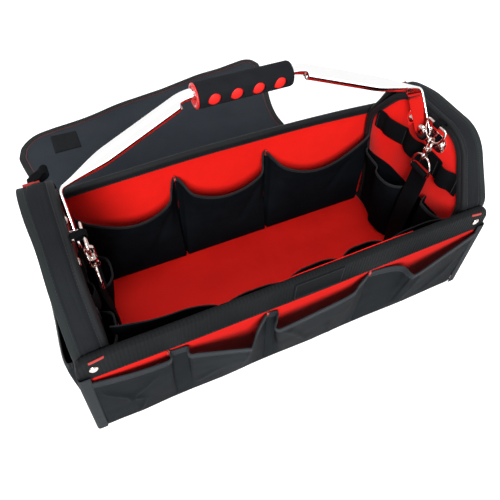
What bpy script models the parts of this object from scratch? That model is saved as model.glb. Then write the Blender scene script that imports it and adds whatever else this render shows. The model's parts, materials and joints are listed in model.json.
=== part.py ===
# Open-top tool bag: gabled padded ends, patch pockets, a chrome tube handle, rings and snap hooks.
# Metres, +Z up, +X along the bag, +Y towards the back. The origin is the middle of the base's underside.
import math

import bmesh
import bpy
from mathutils import Vector

# Overall sizes of the shell. Above the front's top edge the ends stand upright, and below it they spread.
BODY_LENGTH = 0.478
END_FLARE = 0.011
BODY_DEPTH = 0.204
FRONT_HEIGHT = 0.159
BACK_HEIGHT = 0.175
ARCH_HEIGHT = 0.233
END_THICKNESS = 0.0345

# The gap left between sewn or stacked layers, the overrun of cuts, and the weld distance
GAP = 0.0003
OVERRUN = 0.010
WELD = 0.00001

# Sheet thicknesses
BASE_THICKNESS = 0.005
FLOOR_BOARD_THICKNESS = 0.004
PANEL_THICKNESS = 0.005
BAND_THICKNESS = 0.0015
END_PANEL_THICKNESS = 0.005
END_LINING_THICKNESS = 0.002
RIM_THICKNESS = 0.003
POCKET_THICKNESS = 0.0016

# Bands round the front and back top edges
BAND_OUTER_HEIGHT = 0.038
BAND_INNER_HEIGHT = 0.020
BAND_CORNER_RADIUS = 0.018
BASE_CORNER_RADIUS = 0.006

# Gabled arch of each end
ARCH_SHOULDER_RUN = 0.040
ARCH_TOP_RADIUS = 0.045
ARCH_SIDE_RADIUS = 0.030
BINDING_WIDTH = 0.009
BINDING_THICKNESS = 0.0037

# Handle: its pivot, and its shape in its own plane, heights measured from the pivot
PIVOT_DROP = 0.027
HANDLE_LEAN = math.radians(43)
HANDLE_GRIP_HEIGHT = 0.096
HANDLE_SHOULDER_HEIGHT = 0.045
HANDLE_STRAIGHT_HALF = 0.064
TUBE_RADIUS = 0.008
HANDLE_BEND_RADIUS = 0.050
HANDLE_CORNER_RADIUS = 0.007
TAB_THICKNESS = 0.003
TAB_WIDTH = 0.026
TAPER_LENGTH = 0.038
TAB_SQUARENESS_SHARE = 0.75
TAB_TO_PLATE = 0.005
GRIP_LENGTH = 0.104
GRIP_RADIUS = 0.013
SLEEVE_WALL = 0.0009
SLEEVE_FLANGE = 0.0015
FLANGE_SETBACK = 0.0007
WINDOW_RADIUS = 0.0062
WINDOW_PITCH = 0.024
WINDOW_COUNT = 4
WINDOW_TURN = math.radians(40)

# End plates and rivets
PLATE_LENGTH = 0.070
PLATE_HEIGHT = 0.022
PLATE_THICKNESS = 0.002
PLATE_DROP = 0.005
RIVET_SPACING = 0.054
RIVET_HEAD_RADIUS = 0.0046
RIVET_HEAD_HEIGHT = 0.0032
RIVET_SHANK_RADIUS = 0.0019
RIVET_CLEARANCE = 0.0003
PIVOT_SHANK_RADIUS = 0.0028
PIVOT_HEAD_RADIUS = 0.006
PIVOT_HEAD_HEIGHT = 0.0026
WASHER_RADIUS = 0.0052
WASHER_THICKNESS = 0.001
CORNER_RIVET_INSET = 0.016
CORNER_RIVET_DROP = 0.021
CORNER_RIVET_HEIGHT = 0.0016

# Rings and snap hooks, which hang in one line inside each end
CHAIN_Y = -0.023
CHAIN_CLEARANCE = 0.0052
WIRE_RADIUS = 0.0017
RING_HALF_WIDTH = 0.01525
RING_DROP = 0.0215
RING_CORNER_RADIUS = 0.0022
UPPER_BAR_DROP = 0.0025
LOOP_WALL = 0.0017
LOOP_SLACK = 0.0005
LOOP_MOUTH_TURN = math.radians(60)
UPPER_LOOP_WIDTH = 0.015
UPPER_LOOP_FOOT = 0.006
UPPER_LOOP_FOOT_DROP = 0.0023
STRAP_WIDTH = 0.025
STRAP_THICKNESS = 0.0024
HOOK_RADIUS = 0.00375
HOOK_WIRE = 0.0014
HOOK_TIP_DROP = 0.002
BARREL_DROP = 0.012
BARREL_LENGTH = 0.0045
BARREL_RADIUS = 0.0045
BARREL_WALL_BITE = 0.0012
STEM_RADIUS = 0.0012
STEM_HEAD_RADIUS = 0.0019
STEM_HEAD_HEIGHT = 0.0012
STEM_LENGTH = 0.0005
EYE_RADIUS = 0.0042
EYE_WIRE = 0.0013
EYE_SLACK = 0.0005
GATE_RADIUS = 0.001
GATE_END_GAP = 0.0006

# Patch pockets outside the front, and where along the front each starts and ends
FRONT_POCKET_EDGE_SHARES = (0, 0.18, 0.403, 0.666, 1)
FRONT_POCKET_END_INSET = 0.0015
POCKET_SPACING = 0.005
FRONT_POCKET_DEPTH = 0.024
FRONT_POCKET_DIP = 0.006
FRONT_POCKET_BOTTOM_CLEARANCE = 0.006

# Pockets inside the back wall and inside the front wall
INNER_POCKET_END_CLEARANCE = 0.0006
BACK_POCKET_EDGE_SHARES = (0, 0.296, 0.626, 1)
BACK_POCKET_DROP = 0.0105
BACK_POCKET_DIP = 0.034
BACK_POCKET_DEPTH = 0.020
FRONT_INNER_EDGE_SHARES = (0, 0.26, 0.457, 0.639, 0.797, 1)
FRONT_INNER_DROP = 0.0095
FRONT_INNER_DIP = 0.012
FRONT_INNER_DEPTH = 0.016
FLOOR_CLEARANCE = 0.0022
POCKET_FOOT_DEPTH_SHARE = 0.55

# Pockets on the ends, inside and outside
END_POCKET_DEPTH = 0.019
END_POCKET_DIP = 0.008
BACK_END_POCKET_DROP = 0.0437
FRONT_END_POCKET_DROP = 0.0267
END_POCKET_SIDE_CLEARANCE = 0.012
CHAIN_SIDE_CLEARANCE = 0.002
OUTER_POCKET_DROP = 0.030
OUTER_POCKET_DEPTH = 0.012
OUTER_POCKET_DIP = 0.004
OUTER_POCKET_SIDE_CLEARANCE = 0.008

# Elastic tool loops inside each end
ELASTIC_WIDTH = 0.027
ELASTIC_THICKNESS = 0.0016
ELASTIC_PLATE_CLEARANCE = 0.003
ELASTIC_BULGE = 0.008
ELASTIC_END_CLEARANCE = 0.0015
BACK_LOOP_COUNT = 2

# Label patch on the front band
LABEL_LENGTH = 0.060
LABEL_HEIGHT = 0.028
LABEL_THICKNESS = 0.0012
LABEL_OFFSET = 0.012
LABEL_CORNER_RADIUS = 0.002

# Cover flap, lying open behind the bag, and its fastener patch
FLAP_THICKNESS = 0.0025
FLAP_HINGE_CLEARANCE = 0.0004
FLAP_EDGE_OVERLAP = 0.0007
FLAP_HINGE_INSET = 0.025
FLAP_LEFT_REACH = 0.330
FLAP_RIGHT_REACH = 0.419
FLAP_LEFT_SPREAD = 0.038
FLAP_RIGHT_WAIST = 0.030
FLAP_WAIST_REACH = 0.190
FLAP_RIGHT_SPREAD = -0.014
FLAP_CORNER_RADIUS = 0.045
FLAP_WAIST_RADIUS = 0.200
PATCH_LENGTH = 0.044
PATCH_WIDTH = 0.046
PATCH_THICKNESS = 0.0012
PATCH_SIDE_INSET = 0.0565
PATCH_END_INSET = 0.030
PATCH_CORNER_RADIUS = 0.002

# Smoothness of round shapes
ROUND_STEPS = 24
SMALL_ROUND_STEPS = 12
TUBE_STEPS = 16
TUBE_BEVEL_STEPS = 2
SMOOTH_TURN = math.radians(40)
ARC_STEPS = 6
ELASTIC_STEPS_PER_LOOP = 8
POCKET_COLUMNS = 10
POCKET_ROWS = 4

# Sizes that follow from the ones above
halfLength = BODY_LENGTH / 2
halfBase = halfLength + END_FLARE
halfDepth = BODY_DEPTH / 2
outerStack = halfDepth - BAND_THICKNESS - GAP
innerWall = outerStack - PANEL_THICKNESS
innerLeg = innerWall - GAP - BAND_THICKNESS
rimOuterY = innerLeg - GAP
wallBottom = BASE_THICKNESS + GAP
innerBottom = wallBottom + FLOOR_BOARD_THICKNESS
bindingX = halfLength - END_THICKNESS
liningX = bindingX + BINDING_THICKNESS + GAP
plateX = liningX - GAP - PLATE_THICKNESS
tabX = plateX - TAB_TO_PLATE - TAB_THICKNESS
ringX = tabX - CHAIN_CLEARANCE
pivotHeight = ARCH_HEIGHT - PIVOT_DROP
plateZ = pivotHeight - PLATE_DROP
elasticLow = plateZ - PLATE_HEIGHT / 2 - ELASTIC_PLATE_CLEARANCE - ELASTIC_WIDTH
elasticFlatHalf = STRAP_WIDTH / 2 + CHAIN_SIDE_CLEARANCE
archTopInside = ARCH_HEIGHT - RIM_THICKNESS - GAP
upperBarZ = ARCH_HEIGHT - UPPER_BAR_DROP
hookZ = upperBarZ - RING_DROP
hookArcDrop = HOOK_RADIUS - HOOK_WIRE - WIRE_RADIUS - GAP
barrelBottom = BARREL_DROP + BARREL_LENGTH
eyeDrop = barrelBottom + STEM_LENGTH + EYE_WIRE + EYE_RADIUS
lowerWireDrop = eyeDrop + EYE_RADIUS - EYE_WIRE - WIRE_RADIUS - EYE_SLACK
lowerBarZ = hookZ - lowerWireDrop - RING_DROP
loopHole = WIRE_RADIUS + LOOP_SLACK
loopRadius = loopHole + LOOP_WALL
bandFootFront = FRONT_HEIGHT - BAND_OUTER_HEIGHT
innerPocketHalfRun = liningX - GAP - END_POCKET_DEPTH - POCKET_THICKNESS - INNER_POCKET_END_CLEARANCE
flapHingeY = halfDepth + FLAP_THICKNESS / 2 + FLAP_HINGE_CLEARANCE

# Which end a piece belongs to: left is -1, right is +1
SIDES = (("left", -1), ("right", 1))


def clearScene():
    for old in list(bpy.data.objects):
        bpy.data.objects.remove(old, do_unlink=True)


def makeCollection(name):
    collection = bpy.data.collections.new(name)
    bpy.context.scene.collection.children.link(collection)
    return collection


def makeMaterial(name, colour, roughness, metallic=0.0):
    material = bpy.data.materials.new(name)
    material.use_nodes = True
    shader = material.node_tree.nodes["Principled BSDF"]
    shader.inputs["Base Color"].default_value = (*colour, 1.0)
    shader.inputs["Roughness"].default_value = roughness
    shader.inputs["Metallic"].default_value = metallic
    return material


def place(item, location=(0, 0, 0), rotation=(0, 0, 0), parent=None):
    item.location = location
    item.rotation_euler = rotation
    item.parent = parent
    return item


def meshObject(name, mesh, material, collection):
    item = bpy.data.objects.new(name, mesh)
    collection.objects.link(item)
    if material:
        mesh.materials.append(material)
    return item


def asCutter(item):
    item.hide_render = True
    item.display_type = 'WIRE'
    return item


def boxMesh(name, size):
    mesh = bpy.data.meshes.new(name)
    shape = bmesh.new()
    bmesh.ops.create_cube(shape, size=1)
    bmesh.ops.scale(shape, vec=size, verts=shape.verts)
    shape.to_mesh(mesh)
    shape.free()
    return mesh


def makeBox(name, low, high, material, collection):
    size = Vector(high) - Vector(low)
    item = meshObject(name, boxMesh(name, size), material, collection)
    return place(item, (Vector(high) + Vector(low)) / 2)


def arcPoints(centre, radius, start, end, steps):
    # Points on an arc, both ends included; angles in radians
    points = []
    for step in range(steps + 1):
        angle = start + (end - start) * step / steps
        points.append((centre[0] + radius * math.cos(angle), centre[1] + radius * math.sin(angle)))
    return points


def filletCorner(before, corner, after, radius, steps):
    # The points of a round of the given radius that replaces one corner of a path
    here = Vector(corner)
    back = (Vector(before) - here).normalized()
    ahead = (Vector(after) - here).normalized()
    half = back.angle(ahead) / 2
    centre = here + (back + ahead).normalized() * (radius / math.sin(half))
    first = here + back * (radius / math.tan(half)) - centre
    last = here + ahead * (radius / math.tan(half)) - centre
    start = math.atan2(first.y, first.x)
    turn = math.atan2(first.x * last.y - first.y * last.x, first.dot(last))
    return arcPoints(centre, radius, start, start + turn, steps)


def filletPath(corners, radii, steps=ARC_STEPS):
    # An open path whose inner corners are rounded
    path = [tuple(corners[0])]
    for index, radius in enumerate(radii, start=1):
        path += filletCorner(corners[index - 1], corners[index], corners[index + 1], radius, steps)
    path.append(tuple(corners[-1]))
    return path


def filletOutline(corners, radii, steps=ARC_STEPS):
    # A closed outline; a corner whose radius is zero stays sharp
    outline = []
    count = len(corners)
    for index, radius in enumerate(radii):
        if radius:
            outline += filletCorner(corners[index - 1], corners[index], corners[(index + 1) % count],
                                    radius, steps)
        else:
            outline.append(tuple(corners[index]))
    return outline


def offsetPath(path, distance):
    # Moves an open path sideways, to its right-hand side, with mitred corners
    points = [Vector(point) for point in path]
    moved = []
    for index, point in enumerate(points):
        before = points[max(index - 1, 0)]
        after = points[min(index + 1, len(points) - 1)]
        first = (point - before).normalized() if index else (after - point).normalized()
        second = (after - point).normalized() if index < len(points) - 1 else first
        side = Vector((first.y, -first.x)) + Vector((second.y, -second.x))
        side.normalize()
        reach = distance / side.dot(Vector((second.y, -second.x)))
        moved.append(tuple(point + side * reach))
    return moved


# Turns that bring a flat outline's own two axes onto the world's: (y, z), (x, z) and (x, y)
OUTLINE_TURNS = {
    'X': (math.pi / 2, 0, math.pi / 2),
    'Y': (math.pi / 2, 0, 0),
    'Z': (0, 0, 0),
}


def makePlate(name, outlines, thickness, axis, centre, material, collection):
    # A flat piece: closed outlines filled and given thickness along the named axis
    curve = bpy.data.curves.new(name, 'CURVE')
    curve.dimensions = '2D'
    curve.fill_mode = 'BOTH'
    curve.extrude = thickness / 2
    for outline in outlines:
        spline = curve.splines.new('POLY')
        spline.points.add(len(outline) - 1)
        for point, (across, up) in zip(spline.points, outline):
            point.co = (across, up, 0, 1)
        spline.use_cyclic_u = True
    item = bpy.data.objects.new(name, curve)
    collection.objects.link(item)
    if material:
        curve.materials.append(material)
    location = {'X': (centre, 0, 0), 'Y': (0, centre, 0), 'Z': (0, 0, centre)}[axis]
    return place(item, location, OUTLINE_TURNS[axis])


def makeTube(name, points, radius, material, collection, closed=False):
    curve = bpy.data.curves.new(name, 'CURVE')
    curve.dimensions = '3D'
    curve.bevel_depth = radius
    curve.bevel_resolution = TUBE_BEVEL_STEPS
    curve.use_fill_caps = True
    spline = curve.splines.new('POLY')
    spline.points.add(len(points) - 1)
    for point, position in zip(spline.points, points):
        point.co = (*position, 1)
    spline.use_cyclic_u = closed
    item = bpy.data.objects.new(name, curve)
    collection.objects.link(item)
    if material:
        curve.materials.append(material)
    return item


def toMesh(item, material=None):
    # Replaces a curve object by a welded mesh object that can be cut or joined
    bpy.context.view_layer.update()
    evaluated = item.evaluated_get(bpy.context.evaluated_depsgraph_get())
    mesh = bpy.data.meshes.new_from_object(evaluated)
    shape = bmesh.new()
    shape.from_mesh(mesh)
    bmesh.ops.remove_doubles(shape, verts=shape.verts, dist=WELD)
    shape.to_mesh(mesh)
    shape.free()
    name, matrix, collection = item.name, item.matrix_world.copy(), item.users_collection[0]
    bpy.data.objects.remove(item, do_unlink=True)
    mesh.materials.clear()
    solid = meshObject(name, mesh, material, collection)
    solid.name = name
    solid.matrix_world = matrix
    return solid


def turned(name, profile, material, collection, hollow=False, steps=ROUND_STEPS):
    # A profile of (radius, height) points, outer side running downwards, turned about local Z
    mesh = bpy.data.meshes.new(name)
    edges = [(index, index + 1) for index in range(len(profile) - 1)]
    if hollow:
        edges.append((len(profile) - 1, 0))
    mesh.from_pydata([(radius, 0, height) for radius, height in profile], edges, [])
    item = meshObject(name, mesh, material, collection)
    screw = item.modifiers.new("Turn", 'SCREW')
    screw.axis = 'Z'
    screw.steps = steps
    screw.render_steps = steps
    screw.use_merge_vertices = True
    screw.merge_threshold = WELD
    return item


def domeProfile(radius, height, base):
    # Points of a dome from its crown down to its rim
    steps = ARC_STEPS // 2
    angles = [math.pi / 2 * step / steps for step in range(steps + 1)]
    return [(radius * math.sin(angle), base + height * math.cos(angle)) for angle in angles]


def smoothRound(item, angle=SMOOTH_TURN):
    item.data.shade_smooth()
    item.data.set_sharp_from_angle(angle=angle)


def boolean(item, tool, operation):
    modifier = item.modifiers.new(operation.title(), 'BOOLEAN')
    modifier.operation = operation
    modifier.solver = 'EXACT'
    modifier.object = tool
    return modifier


# Each end's arch


def archPath(inset):
    # The arch seen along X, from the front foot over the top to the back foot, set in from the rim
    peak = rimOuterY - ARCH_SHOULDER_RUN
    corners = [(-rimOuterY, wallBottom), (-rimOuterY, FRONT_HEIGHT), (-peak, ARCH_HEIGHT),
               (peak, ARCH_HEIGHT), (rimOuterY, BACK_HEIGHT), (rimOuterY, wallBottom)]
    path = filletPath(corners, (ARCH_SIDE_RADIUS, ARCH_TOP_RADIUS, ARCH_TOP_RADIUS, ARCH_SIDE_RADIUS))
    return offsetPath(path, inset) if inset else path


def archHalfWidth(height, inset):
    # Half the arch's width at a height, on its narrower side
    widths = []
    path = archPath(inset)
    for (y0, z0), (y1, z1) in zip(path, path[1:]):
        if min(z0, z1) <= height <= max(z0, z1) and z0 != z1:
            widths.append(abs(y0 + (y1 - y0) * (height - z0) / (z1 - z0)))
    return min(widths)


def archStrip(outerInset, innerInset):
    return archPath(outerInset) + list(reversed(archPath(innerInset)))


# Walls and base


def buildBase(collection, materials):
    corners = [(-halfBase, -halfDepth), (halfBase, -halfDepth), (halfBase, halfDepth), (-halfBase, halfDepth)]
    outline = filletOutline(corners, [BASE_CORNER_RADIUS] * len(corners))
    makePlate("base_panel", [outline], BASE_THICKNESS, 'Z', BASE_THICKNESS / 2,
              materials["black_fabric"], collection)
    edge = bindingX + flareAt(innerBottom) - GAP
    side = innerWall - GAP
    makeBox("floor_board", (-edge, -side, wallBottom), (edge, side, innerBottom - GAP),
            materials["red_fabric"], collection)


def wallOutline(height, inset):
    # A long wall seen along Y, with the two top corners rounded to follow the band
    half = halfLength - inset
    radius = BAND_CORNER_RADIUS - inset
    corners = [(-half, wallBottom), (half, wallBottom), (half, height - inset), (-half, height - inset)]
    return filletOutline(corners, [0, 0, radius, radius])


def buildWall(name, height, side, collection, materials):
    # Side is -1 at the front and +1 at the back
    wall = makePlate(name, [wallOutline(height, BAND_THICKNESS + GAP)], PANEL_THICKNESS, 'Y',
                     side * (outerStack - PANEL_THICKNESS / 2), None, collection)
    flare(toMesh(wall, materials["red_fabric"]))


def buildBand(name, height, side, collection, cutters, materials):
    # A folded webbing band: a solid block over the wall's top edge, slotted for the wall
    foot = height - BAND_OUTER_HEIGHT
    corners = [(-halfLength, foot), (halfLength, foot), (halfLength, height), (-halfLength, height)]
    outline = filletOutline(corners, [0, 0, BAND_CORNER_RADIUS, BAND_CORNER_RADIUS])
    depth = halfDepth - innerLeg
    block = makePlate(name, [outline], depth, 'Y', side * (halfDepth + innerLeg) / 2, None, collection)
    block = flare(toMesh(block, materials["webbing"]))
    half = halfLength - BAND_THICKNESS
    top = height - BAND_THICKNESS
    radius = BAND_CORNER_RADIUS - BAND_THICKNESS
    slot = filletOutline([(-half, foot - OVERRUN), (half, foot - OVERRUN), (half, top), (-half, top)],
                         [0, 0, radius, radius])
    slotWidth = halfDepth - BAND_THICKNESS - innerLeg - BAND_THICKNESS
    middle = side * (halfDepth + innerLeg) / 2
    cutter = makePlate(f"{name}_slot", [slot], slotWidth, 'Y', middle, None, cutters)
    boolean(block, asCutter(flare(toMesh(cutter))), 'DIFFERENCE')
    legFoot = height - BAND_INNER_HEIGHT
    nearSide, farSide = sorted((side * (innerLeg - OVERRUN), side * (innerLeg + BAND_THICKNESS + GAP)))
    trim = makeBox(f"{name}_trim", (-halfBase - OVERRUN, nearSide, foot - OVERRUN),
                   (halfBase + OVERRUN, farSide, legFoot), None, cutters)
    boolean(block, asCutter(trim), 'DIFFERENCE')


def buildEnd(label, side, collection, cutters, materials):
    # Four flat layers cut to the arch: name, outline, thickness, how far its inner face lies along X, cloth
    inside = RIM_THICKNESS + GAP
    panelX = halfLength - END_PANEL_THICKNESS
    strip = archStrip(inside, inside + BINDING_WIDTH)
    layers = (("end_panel", archPath(inside), END_PANEL_THICKNESS, panelX, "black_fabric"),
              ("end_rim", archStrip(0, RIM_THICKNESS), END_THICKNESS, bindingX, "webbing"),
              ("end_binding", strip, BINDING_THICKNESS, bindingX, "black_fabric"),
              ("end_lining", archPath(inside), END_LINING_THICKNESS, liningX, "red_fabric"))
    for name, outline, thickness, innerFace, cloth in layers:
        layer = makePlate(f"{name}_{label}", [outline], thickness, 'X', side * (innerFace + thickness / 2),
                          None, collection)
        lining = flare(toMesh(layer, materials[cloth]))
    plate = roundedPlate(f"handle_plate_{label}", side, collection, materials)
    for hole in plateHoles(label, side, cutters):
        boolean(lining, hole, 'DIFFERENCE')
        boolean(plate, hole, 'DIFFERENCE')


def roundedPlate(name, side, collection, materials):
    half = PLATE_LENGTH / 2
    low = plateZ - PLATE_HEIGHT / 2
    high = plateZ + PLATE_HEIGHT / 2
    radius = PLATE_HEIGHT / 2 - WELD
    outline = filletOutline([(-half, low), (half, low), (half, high), (-half, high)], [radius] * 4)
    middle = side * (plateX + PLATE_THICKNESS / 2)
    plate = makePlate(name, [outline], PLATE_THICKNESS, 'X', middle, None, collection)
    return toMesh(plate, materials["chrome"])


def plateHoles(label, side, cutters):
    places = [(-RIVET_SPACING / 2, plateZ), (0, pivotHeight), (RIVET_SPACING / 2, plateZ)]
    depth = liningX + END_LINING_THICKNESS - plateX + 2 * OVERRUN
    middle = side * (liningX + END_LINING_THICKNESS + plateX) / 2
    radius = RIVET_SHANK_RADIUS + RIVET_CLEARANCE
    holes = []
    for index, (y, z) in enumerate(places):
        hole = makeCylinder(f"plate_hole_{label}_{index}", radius, depth, cutters)
        holes.append(asCutter(place(hole, (middle, y, z), (0, math.pi / 2, 0))))
    return holes


def flareAt(height):
    # How far the ends have spread outwards at a height
    return END_FLARE * max(0, 1 - height / FRONT_HEIGHT)


def flare(item):
    # Spreads the part of a mesh below the front's top edge, on both sides of the bag's middle
    matrix = item.matrix_basis.copy()
    shape = bmesh.new()
    shape.from_mesh(item.data)
    shape.transform(matrix)
    everything = shape.verts[:] + shape.edges[:] + shape.faces[:]
    bmesh.ops.bisect_plane(shape, geom=everything, dist=WELD,
                           plane_co=(0, 0, FRONT_HEIGHT), plane_no=(0, 0, 1))
    for vertex in shape.verts:
        vertex.co.x += flareAt(vertex.co.z) * math.copysign(1, vertex.co.x)
    shape.transform(matrix.inverted())
    shape.to_mesh(item.data)
    shape.free()
    return item


def makeCylinder(name, radius, depth, collection, material=None):
    mesh = bpy.data.meshes.new(name)
    shape = bmesh.new()
    bmesh.ops.create_cone(shape, cap_ends=True, segments=SMALL_ROUND_STEPS,
                          radius1=radius, radius2=radius, depth=depth)
    shape.to_mesh(mesh)
    shape.free()
    return meshObject(name, mesh, material, collection)


def buildRivets(label, side, collection, materials):
    # Two dome rivets hold each plate; the pivot rivet between them carries the handle's tab
    inward = (0, -side * math.pi / 2, 0)
    back = -(PLATE_THICKNESS + GAP + END_LINING_THICKNESS + GAP)
    dome = domeProfile(RIVET_HEAD_RADIUS, RIVET_HEAD_HEIGHT, GAP)
    profile = dome + [(RIVET_SHANK_RADIUS, GAP), (RIVET_SHANK_RADIUS, back), (WASHER_RADIUS, back),
                      (WASHER_RADIUS, back - WASHER_THICKNESS), (0, back - WASHER_THICKNESS)]
    for position, y in (("front", -RIVET_SPACING / 2), ("back", RIVET_SPACING / 2)):
        rivet = turned(f"rivet_{position}_{label}", profile, materials["chrome"], collection,
                       steps=SMALL_ROUND_STEPS)
        place(rivet, (side * plateX, y, plateZ), inward)
    tab = TAB_TO_PLATE + TAB_THICKNESS
    dome = domeProfile(PIVOT_HEAD_RADIUS, PIVOT_HEAD_HEIGHT, tab + GAP)
    profile = dome + [(PIVOT_SHANK_RADIUS, tab + GAP), (PIVOT_SHANK_RADIUS, TAB_TO_PLATE - GAP),
                      (PIVOT_HEAD_RADIUS, TAB_TO_PLATE - GAP), (PIVOT_HEAD_RADIUS, GAP),
                      (RIVET_SHANK_RADIUS, GAP), (RIVET_SHANK_RADIUS, back), (WASHER_RADIUS, back),
                      (WASHER_RADIUS, back - WASHER_THICKNESS), (0, back - WASHER_THICKNESS)]
    pivot = turned(f"pivot_rivet_{label}", profile, materials["chrome"], collection, steps=SMALL_ROUND_STEPS)
    place(pivot, (side * plateX, 0, pivotHeight), inward)


def buildCornerRivets(collection, materials):
    # Nickel dome rivets at the two front corners of the band, with their heads on the webbing
    profile = domeProfile(RIVET_HEAD_RADIUS, CORNER_RIVET_HEIGHT, GAP) + [(0, GAP)]
    for label, side in SIDES:
        rivet = turned(f"corner_rivet_{label}", profile, materials["chrome"], collection,
                       steps=SMALL_ROUND_STEPS)
        height = FRONT_HEIGHT - CORNER_RIVET_DROP
        x = side * (halfLength + flareAt(height) - CORNER_RIVET_INSET)
        place(rivet, (x, -halfDepth, height), (math.pi / 2, 0, 0))


# Handle, in its own upright frame: local Z runs up from the pivot


def handlePath():
    # Centre line in the handle's plane, from the middle of the grip to the tab's end
    edge = tabX + TAB_THICKNESS / 2
    corners = [(0, HANDLE_GRIP_HEIGHT), (HANDLE_STRAIGHT_HALF, HANDLE_GRIP_HEIGHT),
               (edge, HANDLE_SHOULDER_HEIGHT), (edge, 0)]
    path = filletPath(corners, (HANDLE_BEND_RADIUS, HANDLE_CORNER_RADIUS))
    taperStart = Vector(path[-2 - ARC_STEPS]) - Vector(path[ARC_STEPS + 1])
    steps = ARC_STEPS
    along = [TAPER_LENGTH * (1 - step / steps) for step in range(steps)]
    corner = Vector(path[-2 - ARC_STEPS])
    direction = taperStart.normalized()
    taper = [tuple(corner - direction * distance) for distance in along]
    return path[:ARC_STEPS + 2] + taper + path[-2 - ARC_STEPS:-1], edge


def sectionRing(shape, centre, normal, halfThick, halfWide, squareness):
    # One ring of points about the path: thick in the handle's plane, wide across it
    ring = []
    power = 1 - squareness
    for index in range(TUBE_STEPS):
        angle = 2 * math.pi * (index + 1 / 2) / TUBE_STEPS
        cosine, sine = math.cos(angle), math.sin(angle)
        thick = halfThick * math.copysign(abs(cosine) ** power, cosine)
        wide = halfWide * math.copysign(abs(sine) ** power, sine)
        point = Vector((centre[0] + normal.x * thick, wide, centre[1] + normal.y * thick))
        ring.append(shape.verts.new(point))
    return ring


def buildHandleTube(pivot, collection, cutters, materials):
    path, edge = handlePath()
    halfTab = TAB_WIDTH / 2
    sections = []
    cornerStart = len(path) - 1 - ARC_STEPS
    taperFirst = cornerStart - ARC_STEPS
    for index, point in enumerate(path):
        flat = min(max((index - taperFirst) / (cornerStart - taperFirst), 0), 1)
        flat = flat * flat * (3 - 2 * flat)
        sections.append((point, TUBE_RADIUS + (TAB_THICKNESS / 2 - TUBE_RADIUS) * flat,
                         TUBE_RADIUS + (halfTab - TUBE_RADIUS) * flat, flat * TAB_SQUARENESS_SHARE))
    roundSteps = ARC_STEPS + 2
    for step in range(roundSteps):
        angle = math.pi / 2 * step / roundSteps
        sections.append(((edge, -halfTab * math.sin(angle)), TAB_THICKNESS / 2,
                         halfTab * math.cos(angle), TAB_SQUARENESS_SHARE))
    points = [Vector(section[0]) for section in sections]
    mesh = bpy.data.meshes.new("handle_tube")
    shape = bmesh.new()
    rings = []
    for mirror in (-1, 1):
        order = range(len(sections)) if mirror > 0 else range(len(sections) - 1, 0, -1)
        for index in order:
            before = points[max(index - 1, 0)]
            after = points[min(index + 1, len(points) - 1)]
            tangent = (after - before).normalized()
            if index == 0:
                tangent = Vector((1, 0))
            normal = Vector((-tangent.y * mirror, tangent.x))
            centre, thick, wide, square = sections[index]
            rings.append(sectionRing(shape, (centre[0] * mirror, centre[1]), normal, thick, wide, square))
    for first, second in zip(rings, rings[1:]):
        for index, vertex in enumerate(first):
            following = (index + 1) % len(first)
            shape.faces.new((vertex, first[following], second[following], second[index]))
    shape.faces.new(rings[0])
    shape.faces.new(list(reversed(rings[-1])))
    bmesh.ops.recalc_face_normals(shape, faces=shape.faces)
    shape.to_mesh(mesh)
    shape.free()
    tube = meshObject("handle_tube", mesh, materials["chrome"], collection)
    place(tube, parent=pivot)
    smoothRound(tube)
    hole = makeCylinder("pivot_hole", PIVOT_SHANK_RADIUS + RIVET_CLEARANCE, 2 * (edge + OVERRUN), cutters)
    boolean(tube, asCutter(place(hole, (0, 0, 0), (0, math.pi / 2, 0), pivot)), 'DIFFERENCE')


def buildGrip(pivot, collection, cutters, materials):
    centre = (0, 0, HANDLE_GRIP_HEIGHT)
    alongX = (0, math.pi / 2, 0)
    bore = TUBE_RADIUS + GAP
    sleeve = bore + SLEEVE_WALL
    half = GRIP_LENGTH / 2
    flangeEnd = half + GAP + SLEEVE_FLANGE
    flangeRadius = GRIP_RADIUS - FLANGE_SETBACK
    flangeFace = half + GAP
    profile = [(bore, flangeEnd), (flangeRadius, flangeEnd), (flangeRadius, flangeFace),
               (sleeve, flangeFace), (sleeve, -flangeFace), (flangeRadius, -flangeFace),
               (flangeRadius, -flangeEnd), (bore, -flangeEnd)]
    liner = turned("grip_sleeve", profile, materials["red_plastic"], collection, hollow=True)
    place(liner, centre, alongX, pivot)
    foamBore = sleeve + GAP
    profile = [(foamBore, half), (GRIP_RADIUS, half), (GRIP_RADIUS, -half), (foamBore, -half)]
    foam = turned("grip_foam", profile, materials["foam"], collection, hollow=True)
    place(foam, centre, alongX, pivot)
    reach = GRIP_RADIUS + OVERRUN - TUBE_RADIUS
    middle = TUBE_RADIUS + reach / 2
    for index in range(WINDOW_COUNT):
        x = WINDOW_PITCH * (index - (WINDOW_COUNT - 1) / 2)
        window = makeCylinder(f"finger_window_{index}", WINDOW_RADIUS, reach, cutters)
        spot = (x, -middle * math.sin(WINDOW_TURN), HANDLE_GRIP_HEIGHT - middle * math.cos(WINDOW_TURN))
        boolean(foam, asCutter(place(window, spot, (-WINDOW_TURN, 0, 0), pivot)), 'DIFFERENCE')


# Rings, snap hooks and their straps


def ringPath(upward):
    # A D-shape in the plane across the bag, its straight bar at the origin, its bow up or down
    bow = RING_HALF_WIDTH
    sideDrop = RING_DROP - bow
    corners = [(bow, -sideDrop), (bow, 0), (-bow, 0), (-bow, -sideDrop)]
    path = filletPath(corners, (RING_CORNER_RADIUS, RING_CORNER_RADIUS), ARC_STEPS // 2)
    path += arcPoints((0, -sideDrop), bow, math.pi, 2 * math.pi, 2 * ARC_STEPS)[1:-1]
    sign = -1 if upward else 1
    return [(0, across, sign * height) for across, height in path]


def makeEmpty(name, location, parent, collection, rotation=(0, 0, 0)):
    empty = bpy.data.objects.new(name, None)
    collection.objects.link(empty)
    return place(empty, location, rotation, parent)


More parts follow.
